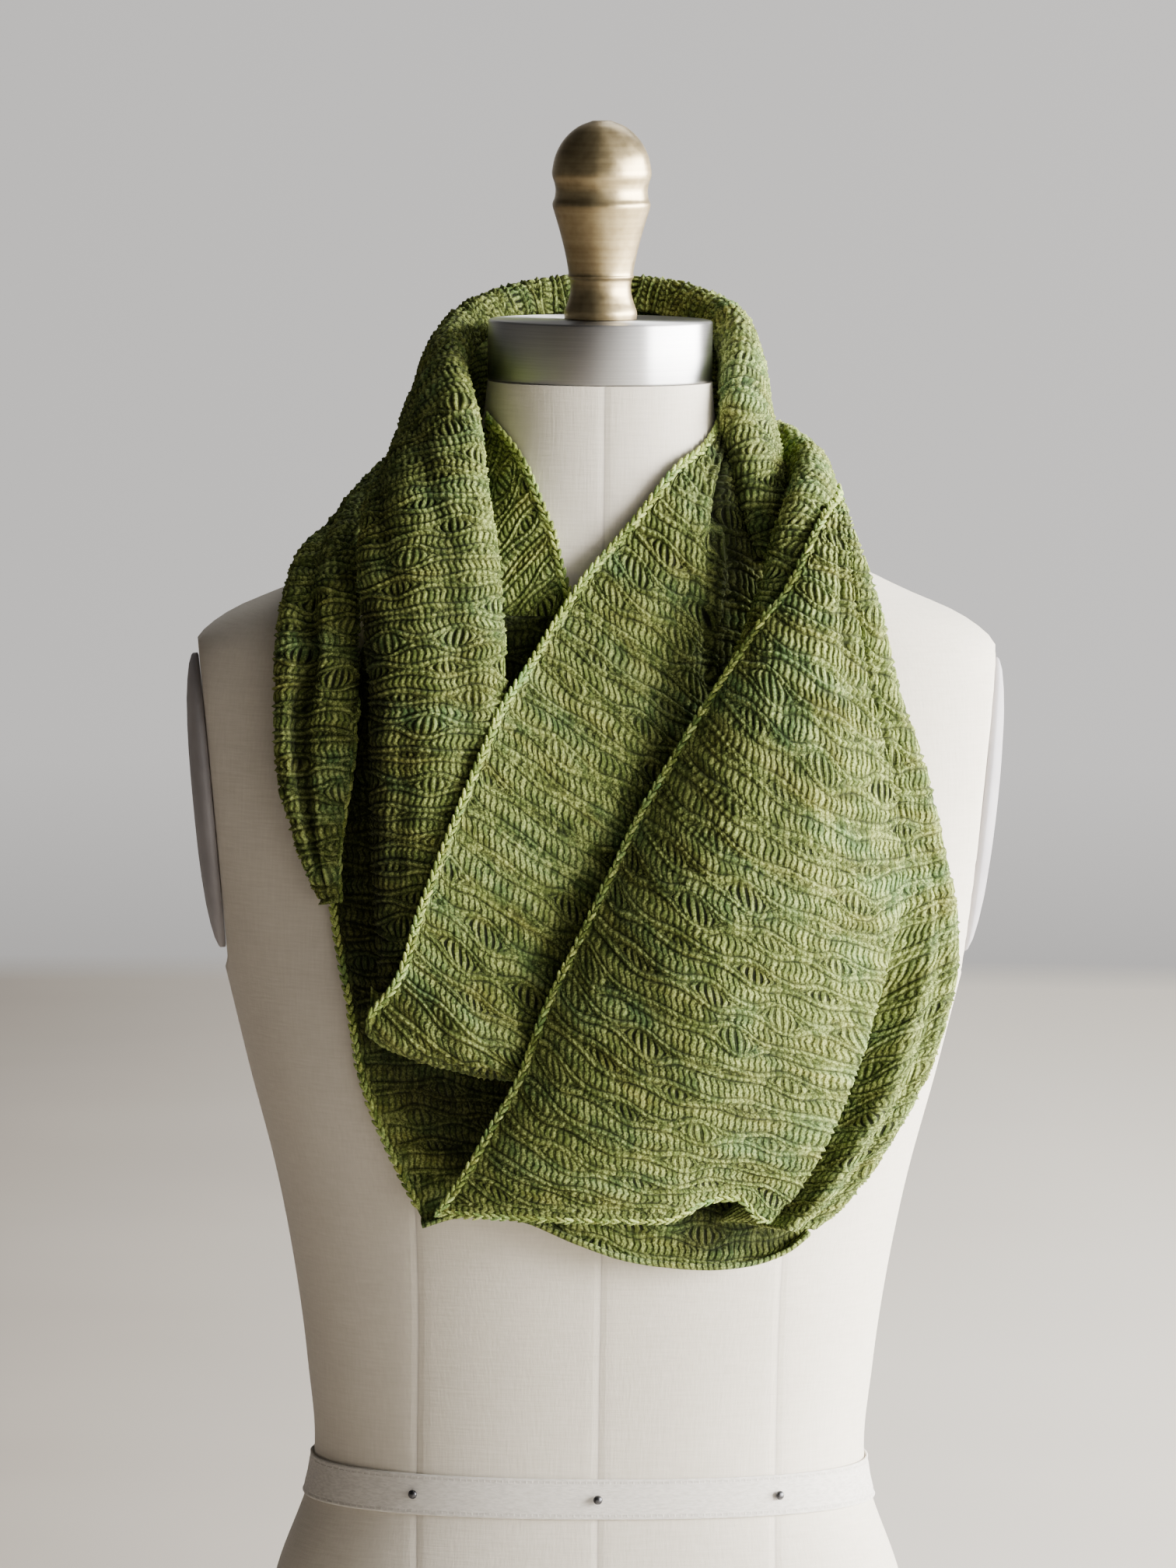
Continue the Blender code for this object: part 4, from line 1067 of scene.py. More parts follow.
# %% Knit pattern
BAND = 15.2                       # from one pair of ridges to the next, on the panels
ROLL_BAND = 13.4                  # the same where the strip is bunched and its rows crowd together
LENS_PITCH = 35.0                 # from one lens to the next in a band
LENS_HALF_HEIGHT = 5.2
LENS_SHEAR = 0.25                 # the lenses lean, because the strip is pulled on its bias
RIDGE_AT = 1.35                   # a ridge's middle beyond the edge of a lens
RIDGE_WIDTH = 0.7
GROOVE_AT = 2.75
GROOVE_WIDTH = 0.55
RIDGE_RISE = 1.0
GROOVE_DEPTH = 1.0
LENS_DEPTH = 1.5
STRAND_PITCH = 3.9                # between the long strands of a lens
STRAND_RISE = 1.35
STROKE_PITCH = 3.0                # between the upright strokes of plain stitches
STROKE_RISE = 0.37
ROW_HEIGHT = 2.8
BORDER = 5.0                      # plain stitches along the strip's edges


def scatter(a, b, seed):
    """A fixed, uneven number from 0 to 1 for each pair of whole numbers."""
    value = np.sin(a * 12.9898 + b * 78.233 + seed * 37.719) * 43758.5453
    return value - np.floor(value)


def wander(s, t, seed):
    """A slow, uneven drift, about -1 to 1."""
    return (np.sin(s / 19.0 + seed * 1.7 + 1.3 * np.sin(t / 31.0)) * 0.5
            + np.sin(t / 23.0 + seed * 2.9 + 1.1 * np.sin(s / 27.0 + seed)) * 0.3
            + np.sin((s + t) / 11.0 + seed * 0.7) * 0.2)


def knit(s, t, seed, band_height, edge):
    """Height of the knit above its cloth in mm, and what its finish needs to know."""
    t = t + 1.2 * wander(s, t, seed) + 0.3 * wander(5 * t, 4 * s, seed + 9)
    s = s + 1.3 * wander(t, s, seed + 5) + 0.45 * wander(6 * s, 5 * t, seed + 13)
    band = np.round(t / band_height)
    off = t - band * band_height
    along = (s - LENS_SHEAR * off) / LENS_PITCH + 0.5 * np.mod(band, 2) + 0.16 * np.sin(band * 2.1 + seed)
    cell = np.floor(along)
    from_middle = (along - cell - 0.5) * LENS_PITCH
    opening = 0.18 + 0.82 * scatter(cell, band, seed)
    lens = LENS_HALF_HEIGHT * opening * np.cos(math.pi * from_middle / LENS_PITCH) ** 2.4
    away = np.abs(off) - lens + 7.0 * (1 - ramp(edge, 0.5 * BORDER, BORDER))
    bow = 1 - 0.3 * np.clip(off / np.maximum(lens, 1.5), -1, 1) ** 2
    lean = 0.5 * (scatter(cell, band, seed + 3) - 0.35)
    strand = (from_middle / bow + lean * off) / STRAND_PITCH + 0.3 * cell
    dropped = ramp(scatter(cell, band, seed + 7), 0.25, 0.7)
    in_lens = ramp(-away, -0.3, 1.2)
    open_lens = in_lens * (0.25 + 0.75 * dropped)
    row = np.floor(t / ROW_HEIGHT)
    zigzag = np.abs(np.mod(t / ROW_HEIGHT, 2.0) - 1.0)
    stroke = (s + 0.9 * zigzag + 0.5 * np.sin(row * 1.9 + seed)) / STROKE_PITCH
    plain = ramp(away, GROOVE_AT, GROOVE_AT + 1.0)
    bead = 1 + 0.35 * np.cos(2 * math.pi * stroke)
    closed = np.exp(-(np.maximum(away, 0.0) / GROOVE_WIDTH) ** 2) * (1 - in_lens)
    height = (RIDGE_RISE * bead * np.exp(-((away - RIDGE_AT) / RIDGE_WIDTH) ** 2)
              - GROOVE_DEPTH * np.exp(-((away - GROOVE_AT) / GROOVE_WIDTH) ** 2)
              - GROOVE_DEPTH * closed
              + plain * (STROKE_RISE * np.cos(2 * math.pi * stroke) + 0.12)
              - open_lens * LENS_DEPTH
              + in_lens * STRAND_RISE * (0.5 + 0.5 * np.cos(2 * math.pi * strand)) ** 0.8)
    stitch = scatter(np.round(stroke), np.floor(row / 2.0), seed + 21)
    marks = {"knit": np.stack([stroke, t, away], axis=-1), "lace": np.stack([strand, s, in_lens], axis=-1),
             "tone": np.stack([stitch, open_lens, np.zeros_like(s)], axis=-1)}
    return height, marks


print("knit: a band every", BAND, "mm, a lens every", LENS_PITCH, "mm")

# %% [markdown]
# ## The yarn
#
# Hand-dyed wool changes from yellow-green through moss to blue-green along the yarn, so the colour drifts
# in short streaks that lie along the rows. The finish reads the knit's own lengths, stored on every point
# of the cloth: noise stretched along s gives the streaks. The light and shade of the knit are painted into
# the colour as well: a painted highlight where a leg of a stitch comes forward, on the ridges and on raised
# fibres, and painted shade in the grooves, in the gaps of the lace, in deep creases and in pockets.

# %% Yarn finish
GREEN_STOPS = [
    (0.28, (0.028, 0.043, 0.009)),
    (0.42, (0.058, 0.082, 0.017)),
    (0.52, (0.096, 0.126, 0.027)),
    (0.62, (0.145, 0.178, 0.043)),
    (0.76, (0.210, 0.242, 0.076)),
]
MINT_SHIFT = (0.93, 1.2, 1.75)    # what the dye does in its bluer and browner places
OLIVE_SHIFT = (1.08, 0.91, 0.8)
# light fibres of the yarn, shown as a painted highlight on the raised knit
FIBRE_AND_PAINTED_HIGHLIGHT = (0.300, 0.345, 0.105)
# the darkest painted shade, for deep creases and pockets
PAINTED_POCKET_SHADE = (0.12, 0.12, 0.10)
SHEEN_TINT = (0.75, 0.85, 0.45)
GROOVE_SHADE_RIDGE_HIGHLIGHT = [                   # painted shade in grooves, painted highlight on ridges, outwards from a lens
    (0.0, 0.55), (0.1, 0.24), (0.17, 0.85), (0.235, 1.35), (0.3, 0.95), (0.375, 0.17), (0.45, 0.7),
    (0.56, 1.05),
]
LOOSE_PAINTED_SHADE = 0.8                 # where the painted shade of the lines fades, because the knit is looser
RIDGE_LEG_PAINTED_LIGHT = [(0.0, 0.62), (0.6, 1.05)]     # painted shade between two strokes, highlight on top of one
# the same painted shade and highlight on the legs of plain stitches
PLAIN_LEG_PAINTED_LIGHT = [(0.03, 0.35), (0.3, 0.76), (0.62, 1.19)]
PAINTED_GAP_SHADE = (0.35, 0.05)          # painted shade between the strands of a closed lens and of an open one
# painted highlight on the long strands of a lens
PAINTED_STRAND_HIGHLIGHT = 1.2


# light sets how bright the whole yarn is; above 1 it is painted light, for pieces that the lamps leave too
# dark.
def yarn(name, light=1.0):
    f = Finish(name, roughness=0.9, sheen=0.12, specular=0.12)
    f.set({"Sheen Roughness": 0.6, "Sheen Tint": rgba(SHEEN_TINT)})
    stroke, t, away = f.split(f.attribute("knit"))
    strand, s, in_lens = f.split(f.attribute("lace"))
    # tone holds each stitch's random tone, how open its lens is, and the painted shade of creases and pockets
    stitch, open_lens, fold = f.split(f.attribute("tone"))

    def drift(per_s, per_t, place, detail=2.0):
        """Noise over the knit's own lengths; place sets one pattern apart from the next."""
        return f.noise(f.join(f.math("MULTIPLY", s, per_s), f.math("MULTIPLY", t, per_t), place), 1.0, detail)

    def crests(turns):
        """1 on every whole number, 0 halfway between."""
        return f.math("MULTIPLY_ADD", f.math("COSINE", f.math("MULTIPLY", turns, 2 * math.pi)), 0.5, 0.5)

    def rise(pattern, low, high=0.66):
        return f.ramp(pattern, [(low, 0.0), (high, 1.0)])

    streak = drift(0.024, 0.15, 0.0, detail=3.0)
    fleck = drift(0.3, 0.8, 3.0)
    fibre = f.noise(f.place(), 1100.0, detail=3.0, roughness=0.6)
    dye = f.math("ADD", f.math("MULTIPLY_ADD", streak, 0.6, f.math("MULTIPLY", fleck, 0.4)),
                 f.math("MULTIPLY_ADD", stitch, 0.12, -0.06))
    tone = f.ramp(dye, GREEN_STOPS)
    tone = f.mix(rise(drift(0.018, 0.045, 9.0), 0.5), tone, f.times(tone, MINT_SHIFT))
    tone = f.mix(rise(drift(0.03, 0.07, 17.0), 0.5), tone, f.times(tone, OLIVE_SHIFT))
    # Painted light of the knit's relief: shade in grooves and lace gaps, highlights on ridges, legs and
    # strands.
    lines = f.ramp(f.math("MULTIPLY_ADD", away, 0.1, 0.1), GROOVE_SHADE_RIDGE_HIGHLIGHT)
    loose = f.math("MULTIPLY", rise(drift(0.07, 0.11, 29.0), 0.48), 0.35)
    lines = f.mix(loose, lines, LOOSE_PAINTED_SHADE)
    plain = rise(f.math("MULTIPLY", away, 0.1), 0.3, 0.4)
    leg = crests(stroke)
    legs = f.mix(plain, f.ramp(leg, RIDGE_LEG_PAINTED_LIGHT), f.ramp(leg, PLAIN_LEG_PAINTED_LIGHT))
    lace = f.mix(rise(crests(strand), 0.18, 0.6), f.mix(open_lens, *PAINTED_GAP_SHADE), PAINTED_STRAND_HIGHLIGHT)
    relief = f.mix(in_lens, f.times(lines, legs), lace)
    tone = f.times(tone, relief)
    # Light fibres of the yarn, with a painted highlight: they show only where the relief is raised and lit.
    bright = rise(f.math("MULTIPLY", fibre, f.math("MULTIPLY_ADD", stitch, 0.5, 0.75)), 0.46)
    raised = f.math("MULTIPLY", f.node("SeparateColor", inputs={0: relief}), 0.55)
    tone = f.mix(f.math("MULTIPLY", bright, raised), tone, FIBRE_AND_PAINTED_HIGHLIGHT)
    # Random fibre tone, lifted as a whole by painted light where light is above 1.
    tone = f.times(tone, f.ramp(fibre, [(0.32, 0.68 * light), (0.68, 1.6 * light)]))
    # Painted shade: deep creases and pockets darken the yarn.
    tone = f.mix(fold, tone, f.times(tone, PAINTED_POCKET_SHADE))
    return f.finish(tone, f.bump(fibre, 0.5, 0.0005, f.bump(relief, 0.8, 0.0009)))


yarn_finish = yarn("hand-dyed yarn")
# Lighter copies of the same yarn: painted light for the neck layer and the chain edges.
neck_yarn_painted_lighter = yarn("yarn at the neck", light=1.2)
edge_yarn_painted_lighter = yarn("yarn of the edges", light=1.5)
print("yarn finish:", len(yarn_finish.node_tree.nodes), "nodes")

# %% [markdown]
# ## Creases and pockets of painted shade
#
# Worn cloth is never evenly round. Soft troughs run where it was bent, and it lies deepest in shade where two
# layers meet. Sculpting could press them in; here each crease is a line in shares of the grid, so it can be
# moved by changing a number. Shade is painted into the yarn as well: a deep crease darkens it with painted
# shade, and a pocket is painted shade alone, a darkening of the yarn deep between two layers.

# %% Creases and pockets of painted shade
Crease = namedtuple("Crease", "row_from row_to column_from column_to width depth")


def crease_field(grid, creases):
    """How far soft troughs, given in shares of the grid, press the cloth in, in mm."""
    rows, columns = grid.shape[:2]
    v = np.linspace(0, 1, rows)[:, None] * np.ones((1, columns))
    u = np.linspace(0, 1, columns)[None, :] * np.ones((rows, 1))
    down = lengths(grid, axis=0)[-1].mean()
    wide = lengths(grid, axis=1)[:, -1].mean()
    press = np.zeros((rows, columns))
    for crease in creases:
        a = np.array([crease.row_from * down, crease.column_from * wide])
        b = np.array([crease.row_to * down, crease.column_to * wide])
        run = b - a
        length = np.linalg.norm(run)
        share = ((v * down - a[0]) * run[0] + (u * wide - a[1]) * run[1]) / length ** 2
        held = np.clip(share, 0, 1)
        away = np.hypot(v * down - a[0] - held * run[0], u * wide - a[1] - held * run[1])
        fade = np.sin(math.pi * np.clip(0.08 + 0.84 * held, 0, 1)) ** 0.7
        press += crease.depth * fade * np.exp(-(away / crease.width) ** 2)
    return press


def valley_shade_mask(grid, top, bottom, width):
    """A mask for painted shade: 1 on an upright line from top to bottom, both (x, z), fading out over a
    width on either side of it.
    """
    x, z = grid[..., 0], grid[..., 2]
    line = bottom[0] + (top[0] - bottom[0]) * (z - bottom[1]) / (top[1] - bottom[1])
    within = ramp(z, bottom[1] - 2 * width, bottom[1]) * (1 - ramp(z, top[1], top[1] + 2 * width))
    return within * np.exp(-((x - line) / width) ** 2)


# Lines along which the yarn gets painted shade, deep where two layers meet: top, bottom and width, in mm.
LEFT_VALLEY_SHADE = ((-112.0, 650.0), (-104.0, 478.0), 9.0)     # between the two rounds on the left
RIGHT_VALLEY_SHADE = ((55.0, 728.0), (63.0, 668.0), 8.0)        # where the inner panel dives behind the right roll
print("two valleys, between the rounds and beside the neck")

# %% [markdown]
# ## From a grid to cloth
#
# Real cloth has two sides and an edge. The outer side carries the knit and needs many points; the inner
# side hardly shows, so it takes every third point. Faces with six corners close the edge between them. The
# Solidify modifier would give both sides the same fine mesh and twice the faces for no visible gain.

# %% Cloth helper
INNER_STEP = 3
SETTLE = 0.25                     # the knit starts a little inside the cloth's face
FULL_SHADE_PRESS = 6.0            # a crease this deep, in mm, would get full painted shade, but painted shade darkens no crease more than this
DARKEST_CREASE_SHADE = 0.68             # but no crease gets darker than this
INSIDE_AWAY = 6.0                 # the inner side is finished as plain stitches
LEAST_AREA_SHARE = 0.31           # of the flat rectangle, for a stretch that narrows a lot
Layer = namedtuple("Layer", "outer normal")


def rim(rows, columns):
    """Point numbers along the four sides of a grid, one way round."""
    number = np.arange(rows * columns).reshape(rows, columns)
    return number[0], number[:, -1], number[-1, ::-1], number[::-1, 0]


def rim_faces(fine, coarse, start):
    """Faces of six corners that join the rim of the fine side to that of the coarse one."""
    faces = []
    for near, far in zip(rim(*fine), rim(*coarse)):
        for k in range(len(far) - 1):
            top = near[k * INNER_STEP:(k + 1) * INNER_STEP + 1]
            faces.append(np.concatenate([top[::-1], start + far[k:k + 2]]))
    return faces


def declare_sheet(made, grid):
    wide = float(lengths(grid, axis=1)[:, -1].max()) * MM
    long = float(lengths(grid, axis=0)[-1].mean()) * MM
    across, down = np.gradient(grid, axis=1), np.gradient(grid, axis=0)
    area = float(np.linalg.norm(np.cross(across, down), axis=2).sum()) * MM * MM
    area = min(max(area, LEAST_AREA_SHARE * wide * long), wide * long)
    print(f"{made.name}: {wide / MM:.0f} by {long / MM:.0f} mm, {len(made.data.polygons)} faces")


def cloth(name, node, grid, s, t, front, seed, edge, creases=(), relief=1.0, band=BAND,
          pocket_shade=0.0, finish=yarn_finish):
    """A knitted shell on the grid's form. front is 1 if the knit faces along the grid's normal, -1 if not.
    edge is each point's distance from the strip's edges. The pocket shade, 0 to 1, is painted shade for
    points deep in a pocket between layers, and deep creases get painted shade too."""
    normal = surface_normals(grid) * front
    height, marks = knit(s, t, seed, band, edge)
    press = crease_field(grid, creases)
    # Painted shade: deep creases and pockets darken the yarn, through the third channel of the tone
    # attribute.
    crease_shade = np.clip(press / FULL_SHADE_PRESS, 0.0, DARKEST_CREASE_SHADE)
    marks["tone"][..., 2] = crease_shade * (1 - pocket_shade) + pocket_shade
    coarse = (slice(None, None, INNER_STEP), slice(None, None, INNER_STEP))
    outer = grid + normal * (CLOTH / 2 - SETTLE + relief * height - press)[..., None]
    inner = (grid - normal * (CLOTH / 2 + press)[..., None])[coarse]
    fine_size, coarse_size = outer.shape[:2], inner.shape[:2]
    outer_count = fine_size[0] * fine_size[1]
    quads = np.concatenate([grid_quads(*fine_size), grid_quads(*coarse_size)[:, ::-1] + outer_count])
    edges = rim_faces(fine_size, coarse_size, outer_count)
    if front < 0:
        quads = quads[:, ::-1]
        edges = [face[::-1] for face in edges]
    inside = {key: values[coarse].copy() for key, values in marks.items()}
    inside["knit"][..., 2] = INSIDE_AWAY
    inside["lace"][..., 2] = 0.0
    inside["tone"][..., 1] = 0.0
    vectors = {key: np.concatenate([marks[key].reshape(-1, 3), inside[key].reshape(-1, 3)]) for key in marks}
    points = np.concatenate([outer.reshape(-1, 3), inner.reshape(-1, 3)])
    made = mesh_object(name, points, quads, edges, vectors)
    dress(made, finish, node)
    declare_sheet(made, grid)
    return Layer(outer, normal)


def rest_like(grid, node):
    """Moves a panel straight back or forward to where its solid rests."""
    lowest_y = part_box(node)[0][1] / MM
    return grid + np.array([0.0, lowest_y - (grid[..., 1].min() - CLOTH / 2), 0.0])


print("cloth helper ready: one inner point for every", INNER_STEP ** 2, "outer ones")

# %% [markdown]
# ## The rolls round the neck
#
# Six bunched stretches go round: three of the inner round and three of the outer one. On each, s runs round
# the roll from the middle of its outer side, and t runs along it.

# %% Rolls
Roll = namedtuple("Roll", "name node stations span path_steps ring_steps crease t_start seed free_edge")
LEFT_FREE_EDGE = 2.6              # the left outer roll shows its edge up to this station
ROLLS = [
    Roll("knit_left_roll", "scarf_left_roll", INNER_ROUND, LEFT_ROLL_SPAN, 295, 166, 0.0, 0.0, 1, None),
    Roll("knit_neck_back", "scarf_neck_back", INNER_ROUND, NECK_BACK_SPAN, 190, 124, 0.0, 290.0, 1, None),
    Roll("knit_right_roll", "scarf_right_roll", INNER_ROUND, RIGHT_ROLL_SPAN, 145, 103, 0.0, 490.0, 1, None),
    Roll("knit_left_outer", "scarf_left_outer", OUTER_ROUND, LEFT_OUTER_SPAN, 220, 112,
         LEFT_CREASE_DEPTH, 0.0, 2, LEFT_FREE_EDGE),
    Roll("knit_back_outer", "scarf_back_outer", OUTER_ROUND, BACK_OUTER_SPAN, 220, 124, 0.0, 200.0, 2, None),
    Roll("knit_right_fold", "scarf_right_fold", OUTER_ROUND, RIGHT_FOLD_SPAN, 163, 94, 0.0, 470.0, 2, None),
]
ROLL_CREASES = {
    "knit_left_roll": [Crease(0.02, 0.5, 0.36, 0.43, 4.5, 1.8), Crease(0.22, 0.72, 0.64, 0.55, 5.5, 2.0),
                       Crease(0.6, 0.99, 0.42, 0.35, 4.5, 2.4), Crease(0.66, 0.98, 0.6, 0.52, 4.0, 1.8)],
    "knit_right_roll": [Crease(0.0, 0.9, 0.52, 0.42, 4.0, 2.0), Crease(0.0, 0.5, 0.3, 0.36, 4.0, 1.4)],
    "knit_left_outer": [Crease(0.03, 0.66, 0.57, 0.48, 3.6, 5.5), Crease(0.1, 0.95, 0.72, 0.64, 3.5, 1.4)],
    "knit_neck_back": [Crease(0.05, 0.6, 0.55, 0.45, 5.0, 1.8), Crease(0.4, 0.95, 0.4, 0.6, 6.0, 2.0)],
    "knit_back_outer": [Crease(0.0, 0.5, 0.45, 0.55, 6.0, 2.4), Crease(0.45, 1.0, 0.6, 0.48, 6.0, 2.4),
                        Crease(0.2, 0.75, 0.3, 0.36, 5.0, 1.6)],
    "knit_right_fold": [Crease(0.2, 1.0, 0.36, 0.42, 4.0, 1.6)],
}
# Painted shade: the two inner rolls darken along the valleys where they meet the other layers.
POCKET_SHADES = {"knit_left_roll": (0.9, LEFT_VALLEY_SHADE), "knit_right_roll": (0.85, RIGHT_VALLEY_SHADE)}
NO_POCKET_SHADE = (0.0, LEFT_VALLEY_SHADE)
FAR_FROM_EDGE = 50.0
EDGE_HIDES = (110.0, 130.0)       # the left outer roll's edge dives under this far along, in mm
rolls = {}
for roll in ROLLS:
    grid = bunched(roll.stations, roll.span, roll.path_steps, roll.ring_steps, roll.crease, roll.free_edge)
    middle = roll.ring_steps // 2
    across = lengths(grid, axis=1)
    along = lengths(grid, axis=0)[:, [middle]] * np.ones_like(across)
    edge = np.full_like(across, FAR_FROM_EDGE)
    if roll.free_edge is not None:
        edge = across[:, -1:] - across + FAR_FROM_EDGE * ramp(along, *EDGE_HIDES)
    depth, line = POCKET_SHADES.get(roll.name, NO_POCKET_SHADE)
    s, t = across - across[:, [middle]], roll.t_start + along
    rolls[roll.name] = cloth(roll.name, roll.node, grid, s, t, 1, roll.seed, edge, ROLL_CREASES[roll.name],
                             relief=1.15, band=ROLL_BAND,
                             pocket_shade=depth * valley_shade_mask(grid, *line))

# %% [markdown]
# ## The panels over the chest
#
# On the panels the strokes stay upright although the edges run aslant, because the knitting is pulled along
# its bias. So s is counted from an upright line and not from the slanting edge, and the ridges drop a
# little towards the right.

# %% Panel helpers
def panel_lengths(grid, drop):
    """s from the upright line x = 0, t down the panel less the drop of its ridges, and the way across."""
    across = lengths(grid, axis=1)
    t = lengths(grid, axis=0)[:, [grid.shape[1] // 3]]
    return across + grid[:, [0], 0], t * np.ones_like(across) - drop(across, t), across


def clear_of_form(grid, room):
    """Moves points forward that would touch the form. room may differ from point to point."""
    x, y, z = grid[..., 0], grid[..., 1], grid[..., 2]
    over_form = np.abs(x) < SIDE_LIMIT * form_size(z)[0]
    clear = np.minimum(y, form_front(x, z) - room - CLOTH / 2)
    return np.stack([x, np.where(over_form, clear, y), z], axis=-1)


print("panel helpers ready")

# %% Back layer and the painted shade of its pocket
UNDER_CREASES = [Crease(0.35, 0.95, 0.12, 0.2, 8.0, 1.2), Crease(0.02, 0.4, 0.05, 0.04, 5.0, 2.5)]
UNDER_LIP_ROWS = 12
grid = under_grid(190, 178, UNDER_LIP_ROWS)
s, t, edge = panel_lengths(grid, lambda across, t: 0.05 * across)
x, z = grid[..., 0], grid[..., 2]
# Painted shade on the back layer: below the inner panel's lobe, in the mouth under the pleat, and in the
# valley between the rounds; none on the lip.
shade_below_lobe = ramp(x + 0.73 * (z - 424.0), -106.0, -84.0) * ramp(z, 364.0, 398.0)
shade_in_mouth = ramp(x, 28.0, 42.0) * (1 - ramp(x, 84.0, 94.0)) * ramp(z, 353.0, 358.0)
pocket_shade = np.maximum(np.maximum(0.85 * shade_below_lobe, 0.75 * shade_in_mouth), 0.9 * valley_shade_mask(grid, *LEFT_VALLEY_SHADE))
pocket_shade[-UNDER_LIP_ROWS:] = 0.0
under = cloth("knit_under", "scarf_under", grid, s, t, -1, 3, edge, UNDER_CREASES, relief=0.7,
              pocket_shade=pocket_shade)

# %% Neck layer on the form
grid = neck_left_grid(139, 67)
s, t, edge = panel_lengths(grid, lambda across, t: 0.5 * across)
# The neck layer wears the yarn painted lighter, as painted light.
neck_left = cloth("knit_neck_left", "scarf_neck_left", grid, s, t, 1, 4, edge, relief=0.7, band=ROLL_BAND,
                  finish=neck_yarn_painted_lighter)

# %% [markdown]
# ## The inner panel and its lobe
#
# Where the inner panel folds up behind itself, its lower left corner swells forward into a soft lobe, and the
# edge rolls back there. A proportional edit would do it by eye; two bell curves, counted from the fold and
# from the edge, do it by number.

# %% Inner panel with its lobe
LOBE_SWELL = 9.0
LOBE_ABOVE = 18.0                 # the swelling's middle, above the fold
LOBE_SPREAD = 17.0
LOBE_CURL = 5.0
CURL_ABOVE = 6.0
PANEL_ROOM = 2.5                  # kept between the inner panel and the form
INNER_ROWS = 288
INNER_FOLD_ROWS = 25              # turned-up rows that are kept


def puffed(grid, bottom_row):
    """The lower left corner of the inner panel swells forward into a lobe, and its edge rolls back."""
    walked = lengths(grid, axis=0)
    above = walked[bottom_row] - walked
    u = np.linspace(0, 1, grid.shape[1])[None, :]
    swell = LOBE_SWELL * np.exp(-((above - LOBE_ABOVE) / LOBE_SPREAD) ** 2)
    swell = swell * ramp(u, 0.0, 0.2) * (1 - u) ** 0.8
    curl = LOBE_CURL * np.exp(-((above - CURL_ABOVE) / LOBE_SPREAD) ** 2) * (1 - ramp(u, 0.0, 0.1))
    return grid + np.stack([-0.6 * curl, curl - swell, 0.0 * curl], axis=-1)


INNER_CREASES = [Crease(0.12, 0.47, 0.55, 0.67, 7.5, 8.5), Crease(0.16, 0.5, 0.86, 0.78, 4.0, 2.6),
                 Crease(0.05, 0.3, 0.34, 0.36, 5.0, 1.8), Crease(0.3, 0.62, 0.42, 0.5, 9.0, 1.6),
                 Crease(0.62, 0.9, 0.3, 0.5, 10.0, 1.8), Crease(0.84, 0.93, 0.1, 0.26, 4.5, 2.2)]
grid = rest_like(front_inner_grid(INNER_ROWS, 184, 13), "scarf_front_inner")[:INNER_ROWS + INNER_FOLD_ROWS]
grid = clear_of_form(puffed(grid, INNER_ROWS - 1), PANEL_ROOM + crease_field(grid, INNER_CREASES))
s, t, edge = panel_lengths(grid, lambda across, t: 0.27 * across)
# Painted shade where the inner panel dives behind the right roll.
inner_panel = cloth("knit_front_inner", "scarf_front_inner", grid, s, t, -1, 5, edge, INNER_CREASES,
                    pocket_shade=0.85 * valley_shade_mask(grid, *RIGHT_VALLEY_SHADE))

# %% [markdown]
# ## The outer panel and its ridges
#
# The ridges run down from the slanting edge, level out, and climb again right of the pleat. The pleat takes
# up more and more cloth towards the hem, which would drag the strokes aslant, so that growth is evened out
# over many rows before s is counted.

# %% Outer panel with its pleat
OUTER_CREASES = [Crease(0.16, 0.42, 0.4, 0.46, 6.0, 2.0), Crease(0.2, 0.55, 0.66, 0.6, 8.0, 2.4),
                 Crease(0.62, 0.84, 0.08, 0.26, 11.0, 2.2), Crease(0.66, 0.96, 0.36, 0.45, 9.0, 1.8),
                 Crease(0.35, 0.6, 0.2, 0.3, 9.0, 1.6)]
PLEAT_ACROSS = 235.0              # how far the pleat lies from the panel's left edge, on the cloth
BESIDE_PLEAT_WIDTH = 100.0        # the cloth right of it, with what is turned back
RISE_BESIDE_PLEAT = 0.55
EASE_ROWS = 150


def outer_drop(across, t):
    """The ridges fall away from the slanting edge, then level out, and rise again right of the pleat."""
    fall = 28.0 * ramp(t, 90.0, 240.0) * (1 - np.exp(-across / 60.0))
    fall = fall + 0.15 * np.minimum(across, PLEAT_ACROSS)
    beside = np.maximum(across - across[:, -1:] + BESIDE_PLEAT_WIDTH, 0.0)
    return fall - RISE_BESIDE_PLEAT * ramp(t, 150.0, 290.0) * beside


def eased(s, across):
    """Shifts s on the right, so that the strokes lean only a little where the pleat takes up more cloth."""
    reach = np.arange(-EASE_ROWS, EASE_ROWS + 1)
    weight = np.exp(-(reach / (0.45 * EASE_ROWS)) ** 2)
    calm = np.convolve(np.pad(across[:, -1], EASE_ROWS, mode="edge"), weight / weight.sum(), "valid")
    return s + (calm - across[:, -1])[:, None] * ramp(across, 120.0, PLEAT_ACROSS)


HEM_SHARE = 0.55                  # the plain border above the hem is wider than the side border
grid = rest_like(front_outer_grid(322, 268), "scarf_front_outer")
s, t, edge = panel_lengths(grid, outer_drop)
s = eased(s, edge)
down = lengths(grid, axis=0)
edge = np.minimum(edge, HEM_SHARE * (down[-1:] - down))
outer_panel = cloth("knit_front_outer", "scarf_front_outer", grid, s, t, -1, 6, edge, OUTER_CREASES)

# %% [markdown]
# ## Chain edges
#
# A slipped stitch at each end of every row leaves a neat chain along the strip's edges. It catches the
# light, so it matters for the look. A raised line in the cloth would be too soft: each link is a pair of
# small slanted beads, set one after another along the edge.

